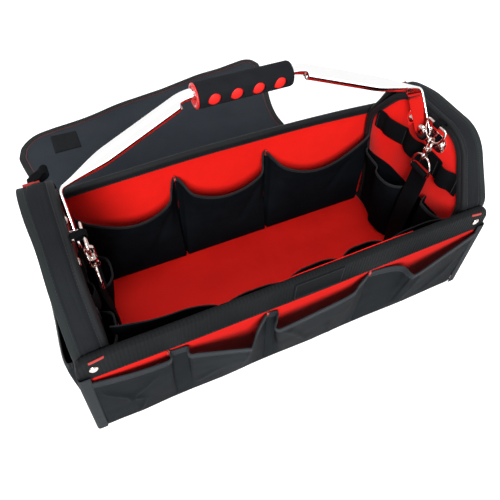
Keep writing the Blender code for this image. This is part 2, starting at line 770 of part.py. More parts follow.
def loopOutline(side, footTop, footBottom, barZ):
    # A webbing loop round the ring's bar, its two ends sewn to the binding
    foot = side * (bindingX - GAP)
    centre = side * ringX
    arc = arcPoints((0, 0), loopRadius, LOOP_MOUTH_TURN, 2 * math.pi - LOOP_MOUTH_TURN, 2 * ARC_STEPS)
    outline = [(foot, footBottom), (foot, footTop)]
    return outline + [(centre + side * across, barZ + up) for across, up in arc]


def circleOutline(x, z, radius):
    return arcPoints((x, z), radius, 0, 2 * math.pi, 2 * ARC_STEPS)[:-1]


def buildChain(label, side, collection, cutters, materials):
    chrome = materials["chrome"]
    x = side * ringX
    footTop = upperBarZ - UPPER_LOOP_FOOT_DROP
    outline = loopOutline(side, footTop, footTop - UPPER_LOOP_FOOT, upperBarZ)
    makePlate(f"ring_loop_{label}", [outline, circleOutline(x, upperBarZ, loopHole)], UPPER_LOOP_WIDTH, 'Y',
              CHAIN_Y, materials["webbing"], collection)

    ringPivot = makeEmpty(f"upper_ring_pivot_{label}", (x, CHAIN_Y, upperBarZ), None, collection)
    ring = makeTube(f"upper_ring_{label}", ringPath(False), WIRE_RADIUS, chrome, collection, True)
    place(ring, parent=ringPivot)

    hookPivot = makeEmpty(f"hook_pivot_{label}", (0, 0, -RING_DROP), ringPivot, collection)
    buildHook(label, side, hookPivot, collection, cutters, chrome)
    buildGate(label, side, hookPivot, collection, chrome)
    buildEye(label, hookPivot, collection, cutters, chrome)

    lowerPivot = makeEmpty(f"lower_ring_pivot_{label}", (x, CHAIN_Y, lowerBarZ), None, collection)
    lower = makeTube(f"lower_ring_{label}", ringPath(True), WIRE_RADIUS, chrome, collection, True)
    place(lower, parent=lowerPivot)

    # The strap that comes up from the floor and ends in a loop round the lower ring's bar
    turn = math.asin(STRAP_THICKNESS / 2 / loopRadius)
    arc = arcPoints((x, lowerBarZ), loopRadius, -math.pi / 2 - turn, turn - 5 * math.pi / 2, 3 * ARC_STEPS)
    halfStrap = STRAP_THICKNESS / 2
    strap = [(x + halfStrap, innerBottom), (x - halfStrap, innerBottom)] + arc
    makePlate(f"hang_strap_{label}", [strap, circleOutline(x, lowerBarZ, loopHole)], STRAP_WIDTH, 'Y',
              CHAIN_Y, materials["webbing"], collection)


def buildHook(label, side, pivot, collection, cutters, chrome):
    # The bight hangs on the ring's wire; the spine runs down the wall side and joins the barrel
    arc = arcPoints((0, -hookArcDrop), HOOK_RADIUS, 0, math.pi, 2 * ARC_STEPS)
    tipZ = -hookArcDrop - HOOK_TIP_DROP
    path = [(HOOK_RADIUS, tipZ)] + arc + [(-HOOK_RADIUS, -barrelBottom + BARREL_WALL_BITE)]
    points = [(-side * inward, 0, height) for inward, height in path]
    wire = toMesh(makeTube(f"hook_wire_{label}", points, HOOK_WIRE, None, cutters))
    place(asCutter(wire), parent=pivot)
    bore = STEM_RADIUS + GAP
    profile = [(bore, -BARREL_DROP), (BARREL_RADIUS, -BARREL_DROP), (BARREL_RADIUS, -barrelBottom),
               (bore, -barrelBottom)]
    hook = turned(f"hook_body_{label}", profile, chrome, collection, hollow=True, steps=SMALL_ROUND_STEPS)
    place(hook, parent=pivot)
    boolean(hook, wire, 'UNION')


def buildGate(label, side, pivot, collection, chrome):
    foot = -BARREL_DROP + GATE_END_GAP
    top = -hookArcDrop - HOOK_TIP_DROP - GATE_END_GAP
    x = -side * HOOK_RADIUS
    gatePivot = makeEmpty(f"gate_pivot_{label}", (x, 0, foot), pivot, collection)
    gate = makeTube(f"hook_gate_{label}", [(0, 0, 0), (0, 0, top - foot)], GATE_RADIUS, chrome, collection)
    place(gate, parent=gatePivot)


def buildEye(label, pivot, collection, cutters, chrome):
    # The swivel: a headed stem through the barrel, with a ring below for the lower ring
    headFoot = -BARREL_DROP + GAP
    profile = [(0, headFoot + STEM_HEAD_HEIGHT), (STEM_HEAD_RADIUS, headFoot + STEM_HEAD_HEIGHT),
               (STEM_HEAD_RADIUS, headFoot), (STEM_RADIUS, headFoot), (STEM_RADIUS, -eyeDrop + EYE_RADIUS),
               (0, -eyeDrop + EYE_RADIUS)]
    eye = turned(f"swivel_eye_{label}", profile, chrome, collection, steps=SMALL_ROUND_STEPS)
    place(eye, parent=pivot)
    loop = makeTube(f"eye_loop_{label}", [(x, 0, z - eyeDrop) for x, z in arcPoints(
        (0, 0), EYE_RADIUS, 0, 2 * math.pi, 3 * ARC_STEPS)[:-1]], EYE_WIRE, None, cutters, True)
    loop = toMesh(loop)
    boolean(eye, asCutter(place(loop, parent=pivot)), 'UNION')


# Pockets


def makePouch(name, width, height, depth, dip, location, turn, material, collection, shares=(0, 1)):
    # A patch pocket: sewn to the wall at its sides, its foot and between its cells, standing off
    # the wall at the open top. Local -Y points out of the wall. The shares are where its cells meet.
    columns = POCKET_COLUMNS * (len(shares) - 1)
    mesh = bpy.data.meshes.new(name)
    shape = bmesh.new()
    bmesh.ops.create_grid(shape, x_segments=columns, y_segments=POCKET_ROWS, size=1 / 2)
    for vertex in shape.verts:
        across, up = vertex.co.x + 1 / 2, vertex.co.y + 1 / 2
        cell, column = divmod(round(across * columns), POCKET_COLUMNS)
        following = min(cell + 1, len(shares) - 1)
        across = shares[cell] + (shares[following] - shares[cell]) * column / POCKET_COLUMNS
        top = height - dip * math.sin(math.pi * column / POCKET_COLUMNS)
        stand = min(column, POCKET_COLUMNS - column, up * POCKET_ROWS, 1)
        stand *= depth * (POCKET_FOOT_DEPTH_SHARE + (1 - POCKET_FOOT_DEPTH_SHARE) * up)
        vertex.co = ((across - 1 / 2) * width, -stand, up * top)
    shape.to_mesh(mesh)
    shape.free()
    pouch = meshObject(name, mesh, material, collection)
    solid = pouch.modifiers.new("Cloth", 'SOLIDIFY')
    solid.thickness = POCKET_THICKNESS
    solid.offset = 1
    return place(pouch, location, (0, 0, turn))


def pocketEdges(halfRun, shares):
    # Where a row of pockets starts, divides and ends
    return [halfRun * (2 * share - 1) for share in shares]


def buildFrontPockets(collection, materials):
    foot = wallBottom + FRONT_POCKET_BOTTOM_CLEARANCE
    height = bandFootFront - GAP - foot
    edges = pocketEdges(halfLength - FRONT_POCKET_END_INSET, FRONT_POCKET_EDGE_SHARES)
    for index, (start, end) in enumerate(zip(edges, edges[1:]), start=1):
        makePouch(f"front_pocket_{index}", end - start - POCKET_SPACING, height, FRONT_POCKET_DEPTH,
                  FRONT_POCKET_DIP, ((start + end) / 2, -outerStack - GAP, foot), 0,
                  materials["black_fabric"], collection)


def buildInnerPockets(collection, materials):
    foot = innerBottom + FLOOR_CLEARANCE
    wall = innerWall - GAP
    edges = pocketEdges(innerPocketHalfRun, BACK_POCKET_EDGE_SHARES)
    height = BACK_HEIGHT - BAND_INNER_HEIGHT - BACK_POCKET_DROP - foot
    for index, (start, end) in enumerate(zip(edges, edges[1:]), start=1):
        makePouch(f"back_pocket_{index}", end - start - POCKET_SPACING, height, BACK_POCKET_DEPTH,
                  BACK_POCKET_DIP, ((start + end) / 2, wall, foot), 0, materials["black_fabric"], collection)
    height = FRONT_HEIGHT - BAND_INNER_HEIGHT - FRONT_INNER_DROP - foot
    mirrored = [1 - share for share in reversed(FRONT_INNER_EDGE_SHARES)]
    makePouch("front_inner_pockets", 2 * innerPocketHalfRun, height, FRONT_INNER_DEPTH, FRONT_INNER_DIP,
              (0, -wall, foot), math.pi, materials["black_fabric"], collection, mirrored)


def buildEndPockets(label, side, collection, materials):
    foot = innerBottom + FLOOR_CLEARANCE
    reach = rimOuterY - RIM_THICKNESS - END_POCKET_SIDE_CLEARANCE
    strapSide = STRAP_WIDTH / 2 + CHAIN_SIDE_CLEARANCE + POCKET_THICKNESS
    spans = (("back", CHAIN_Y + strapSide, reach, BACK_END_POCKET_DROP),
             ("front", -reach, CHAIN_Y - strapSide, FRONT_END_POCKET_DROP))
    inward = -side * math.pi / 2
    for position, start, end, drop in spans:
        flare(makePouch(f"end_pocket_{position}_{label}", end - start, elasticLow - drop - foot,
                        END_POCKET_DEPTH, END_POCKET_DIP,
                        (side * (liningX - GAP), (start + end) / 2, foot), inward,
                        materials["black_fabric"], collection))
    width = 2 * (rimOuterY - RIM_THICKNESS - OUTER_POCKET_SIDE_CLEARANCE)
    foot = wallBottom + FRONT_POCKET_BOTTOM_CLEARANCE
    height = FRONT_HEIGHT - OUTER_POCKET_DROP - foot
    flare(makePouch(f"outer_pocket_{label}", width, height, OUTER_POCKET_DEPTH,
                    OUTER_POCKET_DIP, (side * (halfLength + GAP), 0, foot), -inward,
                    materials["black_fabric"], collection))


def elasticSpans():
    # The stretches that stand off the lining as tool loops: one in front of the chain, the rest behind
    top = elasticLow + ELASTIC_WIDTH
    reach = archHalfWidth(top, RIM_THICKNESS + GAP + BINDING_WIDTH) - ELASTIC_END_CLEARANCE
    backStart = CHAIN_Y + elasticFlatHalf
    step = (reach - backStart) / BACK_LOOP_COUNT
    spans = [(-reach, CHAIN_Y - elasticFlatHalf)]
    spans += [(backStart + step * index, backStart + step * (index + 1)) for index in range(BACK_LOOP_COUNT)]
    return reach, spans


def buildElastic(label, side, collection, materials):
    reach, spans = elasticSpans()
    centreLine = []
    for start, end in spans:
        for step in range(ELASTIC_STEPS_PER_LOOP + 1):
            share = step / ELASTIC_STEPS_PER_LOOP
            centreLine.append((start + (end - start) * share, ELASTIC_BULGE * math.sin(math.pi * share) ** 2))
    points = [point for index, point in enumerate(centreLine)
              if index == 0 or point[0] > centreLine[index - 1][0]]
    wallSide = [(side * (liningX - GAP - bulge), y) for y, bulge in points]
    bagSide = [(side * (liningX - GAP - bulge - ELASTIC_THICKNESS), y) for y, bulge in reversed(points)]
    makePlate(f"tool_loops_{label}", [wallSide + bagSide], ELASTIC_WIDTH, 'Z',
              elasticLow + ELASTIC_WIDTH / 2, materials["webbing"], collection)


def buildLabel(collection, materials):
    low = FRONT_HEIGHT - BAND_OUTER_HEIGHT / 2 - LABEL_HEIGHT / 2
    half = LABEL_LENGTH / 2
    corners = [(LABEL_OFFSET - half, low), (LABEL_OFFSET + half, low),
               (LABEL_OFFSET + half, low + LABEL_HEIGHT), (LABEL_OFFSET - half, low + LABEL_HEIGHT)]
    outline = filletOutline(corners, [LABEL_CORNER_RADIUS] * 4)
    makePlate("label_patch", [outline], LABEL_THICKNESS, 'Y', -halfDepth - GAP - LABEL_THICKNESS / 2,
              materials["label"], collection)


# Cover flap, drawn about its own hinge: local Y is the distance from the hinge


def flapOutline():
    hinge = halfBase - FLAP_HINGE_INSET
    corners = [(-hinge, -FLAP_EDGE_OVERLAP), (hinge, -FLAP_EDGE_OVERLAP),
               (hinge - FLAP_RIGHT_WAIST, FLAP_WAIST_REACH),
               (hinge + FLAP_RIGHT_SPREAD, FLAP_RIGHT_REACH),
               (-hinge - FLAP_LEFT_SPREAD, FLAP_LEFT_REACH)]
    return filletOutline(corners, [0, 0, FLAP_WAIST_RADIUS, FLAP_CORNER_RADIUS, FLAP_CORNER_RADIUS])


def buildFlap(collection, materials):
    pivot = makeEmpty("flap_pivot", (0, flapHingeY, FLAP_THICKNESS / 2), None, collection)
    flap = makePlate("cover_flap", [flapOutline()], FLAP_THICKNESS, 'Z', 0,
                     materials["dark_fabric"], collection)
    place(flap, parent=pivot)
    half = halfBase - FLAP_HINGE_INSET
    x = -half - FLAP_LEFT_SPREAD + PATCH_SIDE_INSET + PATCH_LENGTH / 2
    y = FLAP_LEFT_REACH - PATCH_END_INSET
    corners = [(-PATCH_LENGTH / 2, -PATCH_WIDTH / 2), (PATCH_LENGTH / 2, -PATCH_WIDTH / 2),
               (PATCH_LENGTH / 2, PATCH_WIDTH / 2), (-PATCH_LENGTH / 2, PATCH_WIDTH / 2)]
    patch = makePlate("fastener_patch", [filletOutline(corners, [PATCH_CORNER_RADIUS] * 4)],
                      PATCH_THICKNESS, 'Z', 0, materials["webbing"], collection)
    place(patch, (x, y, FLAP_THICKNESS / 2 + GAP + PATCH_THICKNESS / 2), parent=pivot)


def buildMaterials():
    return {
        "black_fabric": makeMaterial("black_fabric", (0.018, 0.020, 0.022), 0.75),
        "dark_fabric": makeMaterial("dark_fabric", (0.030, 0.036, 0.040), 0.75),
        "red_fabric": makeMaterial("red_fabric", (0.75, 0.02, 0.01), 0.70),
        "webbing": makeMaterial("webbing", (0.012, 0.013, 0.014), 0.85),
        "red_plastic": makeMaterial("red_plastic", (0.80, 0.03, 0.04), 0.45),
        "foam": makeMaterial("foam", (0.020, 0.022, 0.024), 0.90),
        "chrome": makeMaterial("chrome", (0.85, 0.85, 0.86), 0.08, 1.0),
        "label": makeMaterial("label", (0.010, 0.010, 0.011), 0.50),
    }


def main():
    clearScene()
    bag = makeCollection("tool_bag")
    cutters = makeCollection("cutters")
    materials = buildMaterials()
    buildBase(bag, materials)
    buildWall("front_panel", FRONT_HEIGHT, -1, bag, materials)
    buildWall("back_panel", BACK_HEIGHT, 1, bag, materials)
    buildBand("front_band", FRONT_HEIGHT, -1, bag, cutters, materials)
    buildBand("back_band", BACK_HEIGHT, 1, bag, cutters, materials)
    buildFrontPockets(bag, materials)
    buildInnerPockets(bag, materials)
    buildLabel(bag, materials)
    buildCornerRivets(bag, materials)
    for label, side in SIDES:
        buildEnd(label, side, bag, cutters, materials)
        buildRivets(label, side, bag, materials)
        buildChain(label, side, bag, cutters, materials)
        buildEndPockets(label, side, bag, materials)
        buildElastic(label, side, bag, materials)
    pivot = makeEmpty("handle_pivot", (0, 0, pivotHeight), None, bag, (-HANDLE_LEAN, 0, 0))
    buildHandleTube(pivot, bag, cutters, materials)
    buildGrip(pivot, bag, cutters, materials)
    buildFlap(bag, materials)


main()
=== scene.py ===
# Open-top tool bag on a pale floor: soft fabric shell, chrome handle, rings and hooks.
import json
import math

import bmesh
import bpy
from mathutils import Matrix, Vector, noise

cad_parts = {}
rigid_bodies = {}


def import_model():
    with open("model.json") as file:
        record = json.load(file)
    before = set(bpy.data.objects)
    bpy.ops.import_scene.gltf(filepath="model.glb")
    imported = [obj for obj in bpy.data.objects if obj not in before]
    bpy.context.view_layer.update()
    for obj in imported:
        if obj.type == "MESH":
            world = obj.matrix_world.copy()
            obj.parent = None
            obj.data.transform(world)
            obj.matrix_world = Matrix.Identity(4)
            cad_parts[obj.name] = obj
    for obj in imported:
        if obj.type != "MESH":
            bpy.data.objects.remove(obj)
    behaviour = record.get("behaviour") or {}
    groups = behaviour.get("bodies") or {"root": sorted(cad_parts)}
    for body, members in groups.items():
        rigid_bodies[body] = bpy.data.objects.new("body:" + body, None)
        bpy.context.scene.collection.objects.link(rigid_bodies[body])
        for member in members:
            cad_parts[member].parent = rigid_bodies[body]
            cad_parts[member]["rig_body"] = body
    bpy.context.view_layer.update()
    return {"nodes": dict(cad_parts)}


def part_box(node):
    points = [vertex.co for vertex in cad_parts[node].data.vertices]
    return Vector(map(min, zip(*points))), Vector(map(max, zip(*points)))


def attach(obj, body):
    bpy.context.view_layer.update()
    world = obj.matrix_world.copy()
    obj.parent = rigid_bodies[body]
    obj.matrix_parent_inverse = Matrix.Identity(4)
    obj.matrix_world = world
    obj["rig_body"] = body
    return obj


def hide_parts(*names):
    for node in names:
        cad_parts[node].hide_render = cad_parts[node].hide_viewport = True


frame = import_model()
print("frame loaded:", len(frame["nodes"]), "nodes")

scene = bpy.context.scene
scene.view_settings.view_transform = "Standard"
sides = (("left", -1), ("right", 1))

# the shell's own sizes, in metres: x along the bag, y to the back, z up
bag = {
    "halfLength": 0.239,
    "flare": 0.011,         # how far the ends spread at the floor
    "frontTop": 0.159,
    "backTop": 0.175,
    "archTop": 0.233,
    "foot": 0.0053,
    "rimY": 0.0931,
    "shoulder": 0.040,
    "wallOut": 0.1002,
    "bandOut": 0.1020,
    "bandIn": 0.0934,
    "floorTop": 0.0093,
    "liningX": 0.2085,
    "bindingX": 0.2045,
}


# helpers for lines, grids and pieces

def lerp(a, b, t):
    return a + (b - a) * t


def ease(t):
    t = min(max(t, 0.0), 1.0)
    return t * t * (3 - 2 * t)


def alongKnots(knots, t):
    # reads a list of (place, value...) at t, with a soft change between the knots
    for low, high in zip(knots, knots[1:]):
        if t <= high[0]:
            share = (t - low[0]) / max(high[0] - low[0], 1e-9)
            share = lerp(share, ease(share), 0.5)
            return [lerp(a, b, share) for a, b in zip(low[1:], high[1:])]
    return list(knots[-1][1:])


def smoothLine(points, steps=10, closed=False):
    # a smooth line through its points
    points = [Vector(p) for p in points]
    count = len(points)
    line = []
    for i in range(count if closed else count - 1):
        if closed:
            a, b, c, d = (points[(i + k) % count] for k in (-1, 0, 1, 2))
        else:
            b, c = points[i], points[i + 1]
            a = points[i - 1] if i else b + (b - c)
            d = points[i + 2] if i + 2 < count else c + (c - b)
        for k in range(steps):
            t = k / steps
            line.append(0.5 * (2 * b + (c - a) * t + (2 * a - 5 * b + 4 * c - d) * t * t
                               + (3 * b - a - 3 * c + d) * t ** 3))
    if not closed:
        line.append(points[-1])
    return line


def roundedLine(corners, radii, steps=8):
    # straight runs joined by arcs of the given radii
    corners = [Vector(c) for c in corners]
    line = [corners[0]]
    for i, radius in enumerate(radii):
        before, corner, after = corners[i], corners[i + 1], corners[i + 2]
        inward = (before - corner).normalized()
        onward = (after - corner).normalized()
        half = inward.angle(onward) / 2
        if radius <= 0 or half > math.pi / 2 - 0.01:
            line.append(corner)
            continue
        run = radius / math.tan(half)
        start, end = corner + inward * run, corner + onward * run
        centre = corner + (inward + onward).normalized() * (radius / math.sin(half))
        for k in range(steps + 1):
            spoke = (start - centre).slerp(end - centre, k / steps)
            line.append(centre + spoke.normalized() * radius)
    line.append(corners[-1])
    return line


def measured(line):
    total, marks = 0.0, [0.0]
    for a, b in zip(line, line[1:]):
        total += (b - a).length
        marks.append(total)
    return {"line": line, "marks": marks, "total": total}


def onLine(path, t):
    # the place and direction at a share t of the line's length
    want = min(max(t, 0.0), 1.0) * path["total"]
    marks, line = path["marks"], path["line"]
    low, high = 0, len(line) - 1
    while high - low > 1:
        middle = (low + high) // 2
        if marks[middle] <= want:
            low = middle
        else:
            high = middle
    share = (want - marks[low]) / max(marks[high] - marks[low], 1e-9)
    return line[low].lerp(line[high], share), (line[high] - line[low]).normalized()


def rumple(x, y, z, size, seed=0.0):
    # smooth noise from -1 to 1
    return noise.noise(Vector((x / size + seed, y / size + 3.1 * seed, z / size - seed)))


def spread(z):
    return bag["flare"] * max(0.0, 1 - z / bag["frontTop"])


def endLean(side, y, z, across):
    # how far an end leans inwards; across is 0 on its lining and 1 on its outer face
    if side > 0:
        top = 0.0085 * across * ease((z - 0.15) / 0.08)
        curl = 0.0110 * ease((y - lerp(0.032, 0.018, across)) / 0.042) * ease((z - 0.05) / 0.10)
        return -(top + curl)
    return -0.0058 * across * math.exp(-((y + 0.040) / 0.045) ** 2) * ease((z - 0.10) / 0.05)


def endPoint(side, x, y, z, across):
    return Vector((side * (x + spread(z) + endLean(side, y, z, across)), y, z))


def formedGrid(columns, rows, placeAt, roundWay=False):
    # a grid whose points are set by placeAt(u, v); the map is in metres
    bm = bmesh.new()
    bmesh.ops.create_grid(bm, x_segments=columns, y_segments=rows, size=0.5)
    share = {v: (v.co.x + 0.5, v.co.y + 0.5) for v in bm.verts}
    for v in bm.verts:
        v.co = placeAt(*share[v])
    byRow, byColumn = {}, {}
    for v in bm.verts:
        u, w = share[v]
        byRow.setdefault(round(w, 5), []).append((u, v.co))
        byColumn.setdefault(round(u, 5), []).append((w, v.co))

    def longest(runs):
        best = 0.0
        for run in runs.values():
            run.sort(key=lambda item: item[0])
            best = max(best, sum((b[1] - a[1]).length for a, b in zip(run, run[1:])))
        return best
    width, length = longest(byRow), longest(byColumn)
    layer = bm.loops.layers.uv.new("UVMap")
    for face in bm.faces:
        for loop in face.loops:
            u, w = share[loop.vert]
            loop[layer].uv = (u * width, w * length)
    area = sum(face.calc_area() for face in bm.faces)
    if roundWay:
        bmesh.ops.remove_doubles(bm, verts=bm.verts, dist=0.00002)
    return bm, (width, length), area


def plainObject(name, bm):
    mesh = bpy.data.meshes.new(name)
    bm.to_mesh(mesh)
    bm.free()
    piece = bpy.data.objects.new(name, mesh)
    scene.collection.objects.link(piece)
    return piece


def addObject(name, bm, looks, body, nodes=(), smooth=True):
    piece = plainObject(name, bm)
    for look in (looks if isinstance(looks, (list, tuple)) else [looks]):
        piece.data.materials.append(look)
    if smooth:
        piece.data.polygons.foreach_set("use_smooth", [True] * len(piece.data.polygons))
    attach(piece, body)
    if nodes:
        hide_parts(*nodes)
    return piece


def thicken(piece, thickness, offset=-1.0, soften=1):
    wall = piece.modifiers.new("wall", "SOLIDIFY")
    wall.thickness = thickness
    wall.offset = offset
    if soften:
        smoothing = piece.modifiers.new("soft", "SUBSURF")
        smoothing.levels = soften
        smoothing.render_levels = soften


def facing(bm, towards):
    # turns the whole sheet if its faces look away from the direction
    bm.normal_update()
    if sum((f.normal.dot(towards) * f.calc_area() for f in bm.faces)) < 0:
        bmesh.ops.reverse_faces(bm, faces=bm.faces)


def sewSheet(name, columns, rows, placeAt, thickness, look, towards, nodes=(), body="bag",
             offset=-1.0, soften=1, pad=None):
    bm, flat, area = formedGrid(columns, rows, placeAt)
    facing(bm, Vector(towards))
    piece = addObject(name, bm, look, body, nodes)
    thicken(piece, thickness, offset, soften)
    if pad is None and min(flat) > 0.010:
        min(area, flat[0] * flat[1])
    return piece


def bentRod(name, points, radius, look, body, nodes=(), closed=False, around=16, steps=8):
    # a round rod or thread along a smooth line
    line = smoothLine(points, steps, closed) if steps else [Vector(p) for p in points]
    shape = bpy.data.curves.new(name, "CURVE")
    shape.dimensions = "3D"
    run = shape.splines.new("POLY")
    run.points.add(len(line) - 1)
    for spot, p in zip(run.points, line):
        spot.co = (*p, 1)
    run.use_cyclic_u = closed
    shape.bevel_depth = radius
    shape.bevel_resolution = max(1, around // 4)
    shape.use_fill_caps = not closed
    carrier = bpy.data.objects.new(name + "Line", shape)
    scene.collection.objects.link(carrier)
    bpy.context.view_layer.update()
    made = bpy.data.meshes.new_from_object(carrier.evaluated_get(bpy.context.evaluated_depsgraph_get()))
    bpy.data.objects.remove(carrier, do_unlink=True)
    bm = bmesh.new()
    bm.from_mesh(made)
    bpy.data.meshes.remove(made)
    return addObject(name, bm, look, body, nodes)


def turnedPiece(name, profile, place, look, body, nodes=(), steps=40, closed=False):
    # profile is (radius, height) pairs round the axis, from axis to axis or closed; place is a Matrix
    bm = bmesh.new()
    ring = [bm.verts.new((r, 0, h)) for r, h in profile]
    for a, b in zip(ring, ring[1:] + (ring[:1] if closed else [])):
        bm.edges.new((a, b))
    bmesh.ops.spin(bm, geom=bm.verts[:] + bm.edges[:], cent=(0, 0, 0), axis=(0, 0, 1), dvec=(0, 0, 0),
                   angle=math.tau, steps=steps, use_merge=True)
    bmesh.ops.remove_doubles(bm, verts=bm.verts, dist=0.000005)
    bmesh.ops.recalc_face_normals(bm, faces=bm.faces)
    bmesh.ops.transform(bm, matrix=place, verts=bm.verts)
    return addObject(name, bm, look, body, nodes)


# camera, floor and lights

def setCamera():
    view = {"azimuth": -26.5537, "elevation": 52.2029, "roll": 2.2695, "distance": 0.8089,
            "target": (0.044, 0.1214, -0.0842), "focal": 476.94, "centre": (251.485, 248.762), "frame": 500}
    a, e, roll = (math.radians(view[k]) for k in ("azimuth", "elevation", "roll"))
    back = Vector((math.sin(a) * math.cos(e), -math.cos(a) * math.cos(e), math.sin(e)))
    right = (-back).cross(Vector((0, 0, 1))).normalized()
    up = right.cross(-back)
    turnedRight = right * math.cos(roll) + up * math.sin(roll)
    turnedUp = up * math.cos(roll) - right * math.sin(roll)
    lens = bpy.data.cameras.new("camera")
    lens.sensor_width = 36
    lens.sensor_fit = "HORIZONTAL"
    lens.lens = 36 * view["focal"] / view["frame"]
    lens.shift_x = (view["frame"] / 2 - view["centre"][0]) / view["frame"]
    lens.shift_y = (view["centre"][1] - view["frame"] / 2) / view["frame"]
    lens.clip_start = 0.01
    camera = bpy.data.objects.new("camera", lens)
    scene.collection.objects.link(camera)
    place = Vector(view["target"]) + back * view["distance"]
    camera.matrix_world = Matrix((
        (turnedRight.x, turnedUp.x, back.x, place.x),
        (turnedRight.y, turnedUp.y, back.y, place.y),
        (turnedRight.z, turnedUp.z, back.z, place.z),
        (0, 0, 0, 1)))
    scene.camera = camera


def node(tree, kind, place=(0, 0), inputs=None, **values):
    # inputs holds a plain value or the socket that feeds each input
    made = tree.nodes.new(kind)
    made.location = place
    for key, value in values.items():
        setattr(made, key, value)
    feed(tree, made, inputs or {})
    return made


def feed(tree, shader, inputs):
    for key, value in inputs.items():
        if isinstance(value, bpy.types.NodeSocket):
            tree.links.new(value, shader.inputs[key])
        else:
            shader.inputs[key].default_value = value


def seenDirectly(tree):
    # 1 for the camera's own rays and for what shows in metal and glass
    path = node(tree, "ShaderNodeLightPath", (-900, 300)).outputs
    first = node(tree, "ShaderNodeMath", (-700, 300), {0: path["Is Camera Ray"], 1: path["Is Glossy Ray"]},
                 operation="ADD")
    both = node(tree, "ShaderNodeMath", (-500, 300), {0: first.outputs[0], 1: path["Is Transmission Ray"]},
                operation="ADD", use_clamp=True)
    return both.outputs[0]


def setStage():
    white = (1, 1, 1, 1)
    stage = {"floorSize": 12.0, "floorDrop": 0.0004, "floorColour": (0.90, 0.90, 0.905, 1),
             "floorGlow": 0.42, "worldLight": 0.34, "aim": (0, 0, 0.1),
             "lamps": (  # name, place, size, power
                 ("topLamp", (-0.10, 0.00, 1.75), 1.0, 17), ("keyLamp", (-0.62, -1.45, 1.15), 0.8, 54),
                 ("backLamp", (0.50, 1.80, 1.60), 1.4, 5))}
    bm = bmesh.new()
    bmesh.ops.create_grid(bm, x_segments=2, y_segments=2, size=stage["floorSize"] / 2)
    bmesh.ops.translate(bm, verts=bm.verts, vec=(0, 0, -stage["floorDrop"]))
    floor = plainObject("floor", bm)
    look, tree, shader = newLook("paleFloor")
    glow = node(tree, "ShaderNodeMath", (-300, 200), {0: seenDirectly(tree), 1: stage["floorGlow"]},
                operation="MULTIPLY")
    feed(tree, shader, {"Base Color": stage["floorColour"], "Roughness": 0.9, "Specular IOR Level": 0.1,
                        "Emission Strength": glow.outputs[0], "Emission Color": white})
    floor.data.materials.append(look)
    world = bpy.data.worlds.new("softRoom")
    world.use_nodes = True
    scene.world = world
    tree = world.node_tree
    strength = node(tree, "ShaderNodeMix", (-300, 100), {"A": stage["worldLight"], "B": 1.0,
                    "Factor": seenDirectly(tree)}, data_type="FLOAT")
    feed(tree, tree.nodes["Background"], {"Color": white, "Strength": strength.outputs["Result"]})
    for name, place, size, power in stage["lamps"]:
        lamp = bpy.data.lights.new(name, "AREA")
        lamp.shape = "DISK"
        lamp.size = size
        lamp.energy = power
        holder = bpy.data.objects.new(name, lamp)
        scene.collection.objects.link(holder)
        holder.location = place
        holder.rotation_euler = (Vector(place) - Vector(stage["aim"])).to_track_quat("Z", "Y").to_euler()


# materials

def newLook(name):
    look = bpy.data.materials.new(name)
    look.use_nodes = True
    return look, look.node_tree, look.node_tree.nodes["Principled BSDF"]


def bumped(tree, place, strength, distance, height, under=None):
    # a bump node over an earlier one, as a normal socket
    inputs = {"Strength": strength, "Distance": distance, "Height": height}
    if under:
        inputs["Normal"] = under
    return node(tree, "ShaderNodeBump", place, inputs).outputs["Normal"]


def remapped(tree, place, value, low, high, **inputs):
    ends = {"Value": value, "To Min": low, "To Max": high}
    ends.update({key.replace("from", "From "): limit for key, limit in inputs.items()})
    return node(tree, "ShaderNodeMapRange", place, ends).outputs["Result"]


def cloudy(tree, place, where, scale, detail, **more):
    inputs = {"Vector": where, "Scale": scale, "Detail": detail}
    if more:
        inputs["Roughness"] = more["rough"]
    return node(tree, "ShaderNodeTexNoise", place, inputs).outputs["Fac"]


def blended(tree, place, first, second, factor, **values):
    return node(tree, "ShaderNodeMix", place, {"A": first, "B": second, "Factor": factor}, data_type="RGBA",
                **values).outputs["Result"]


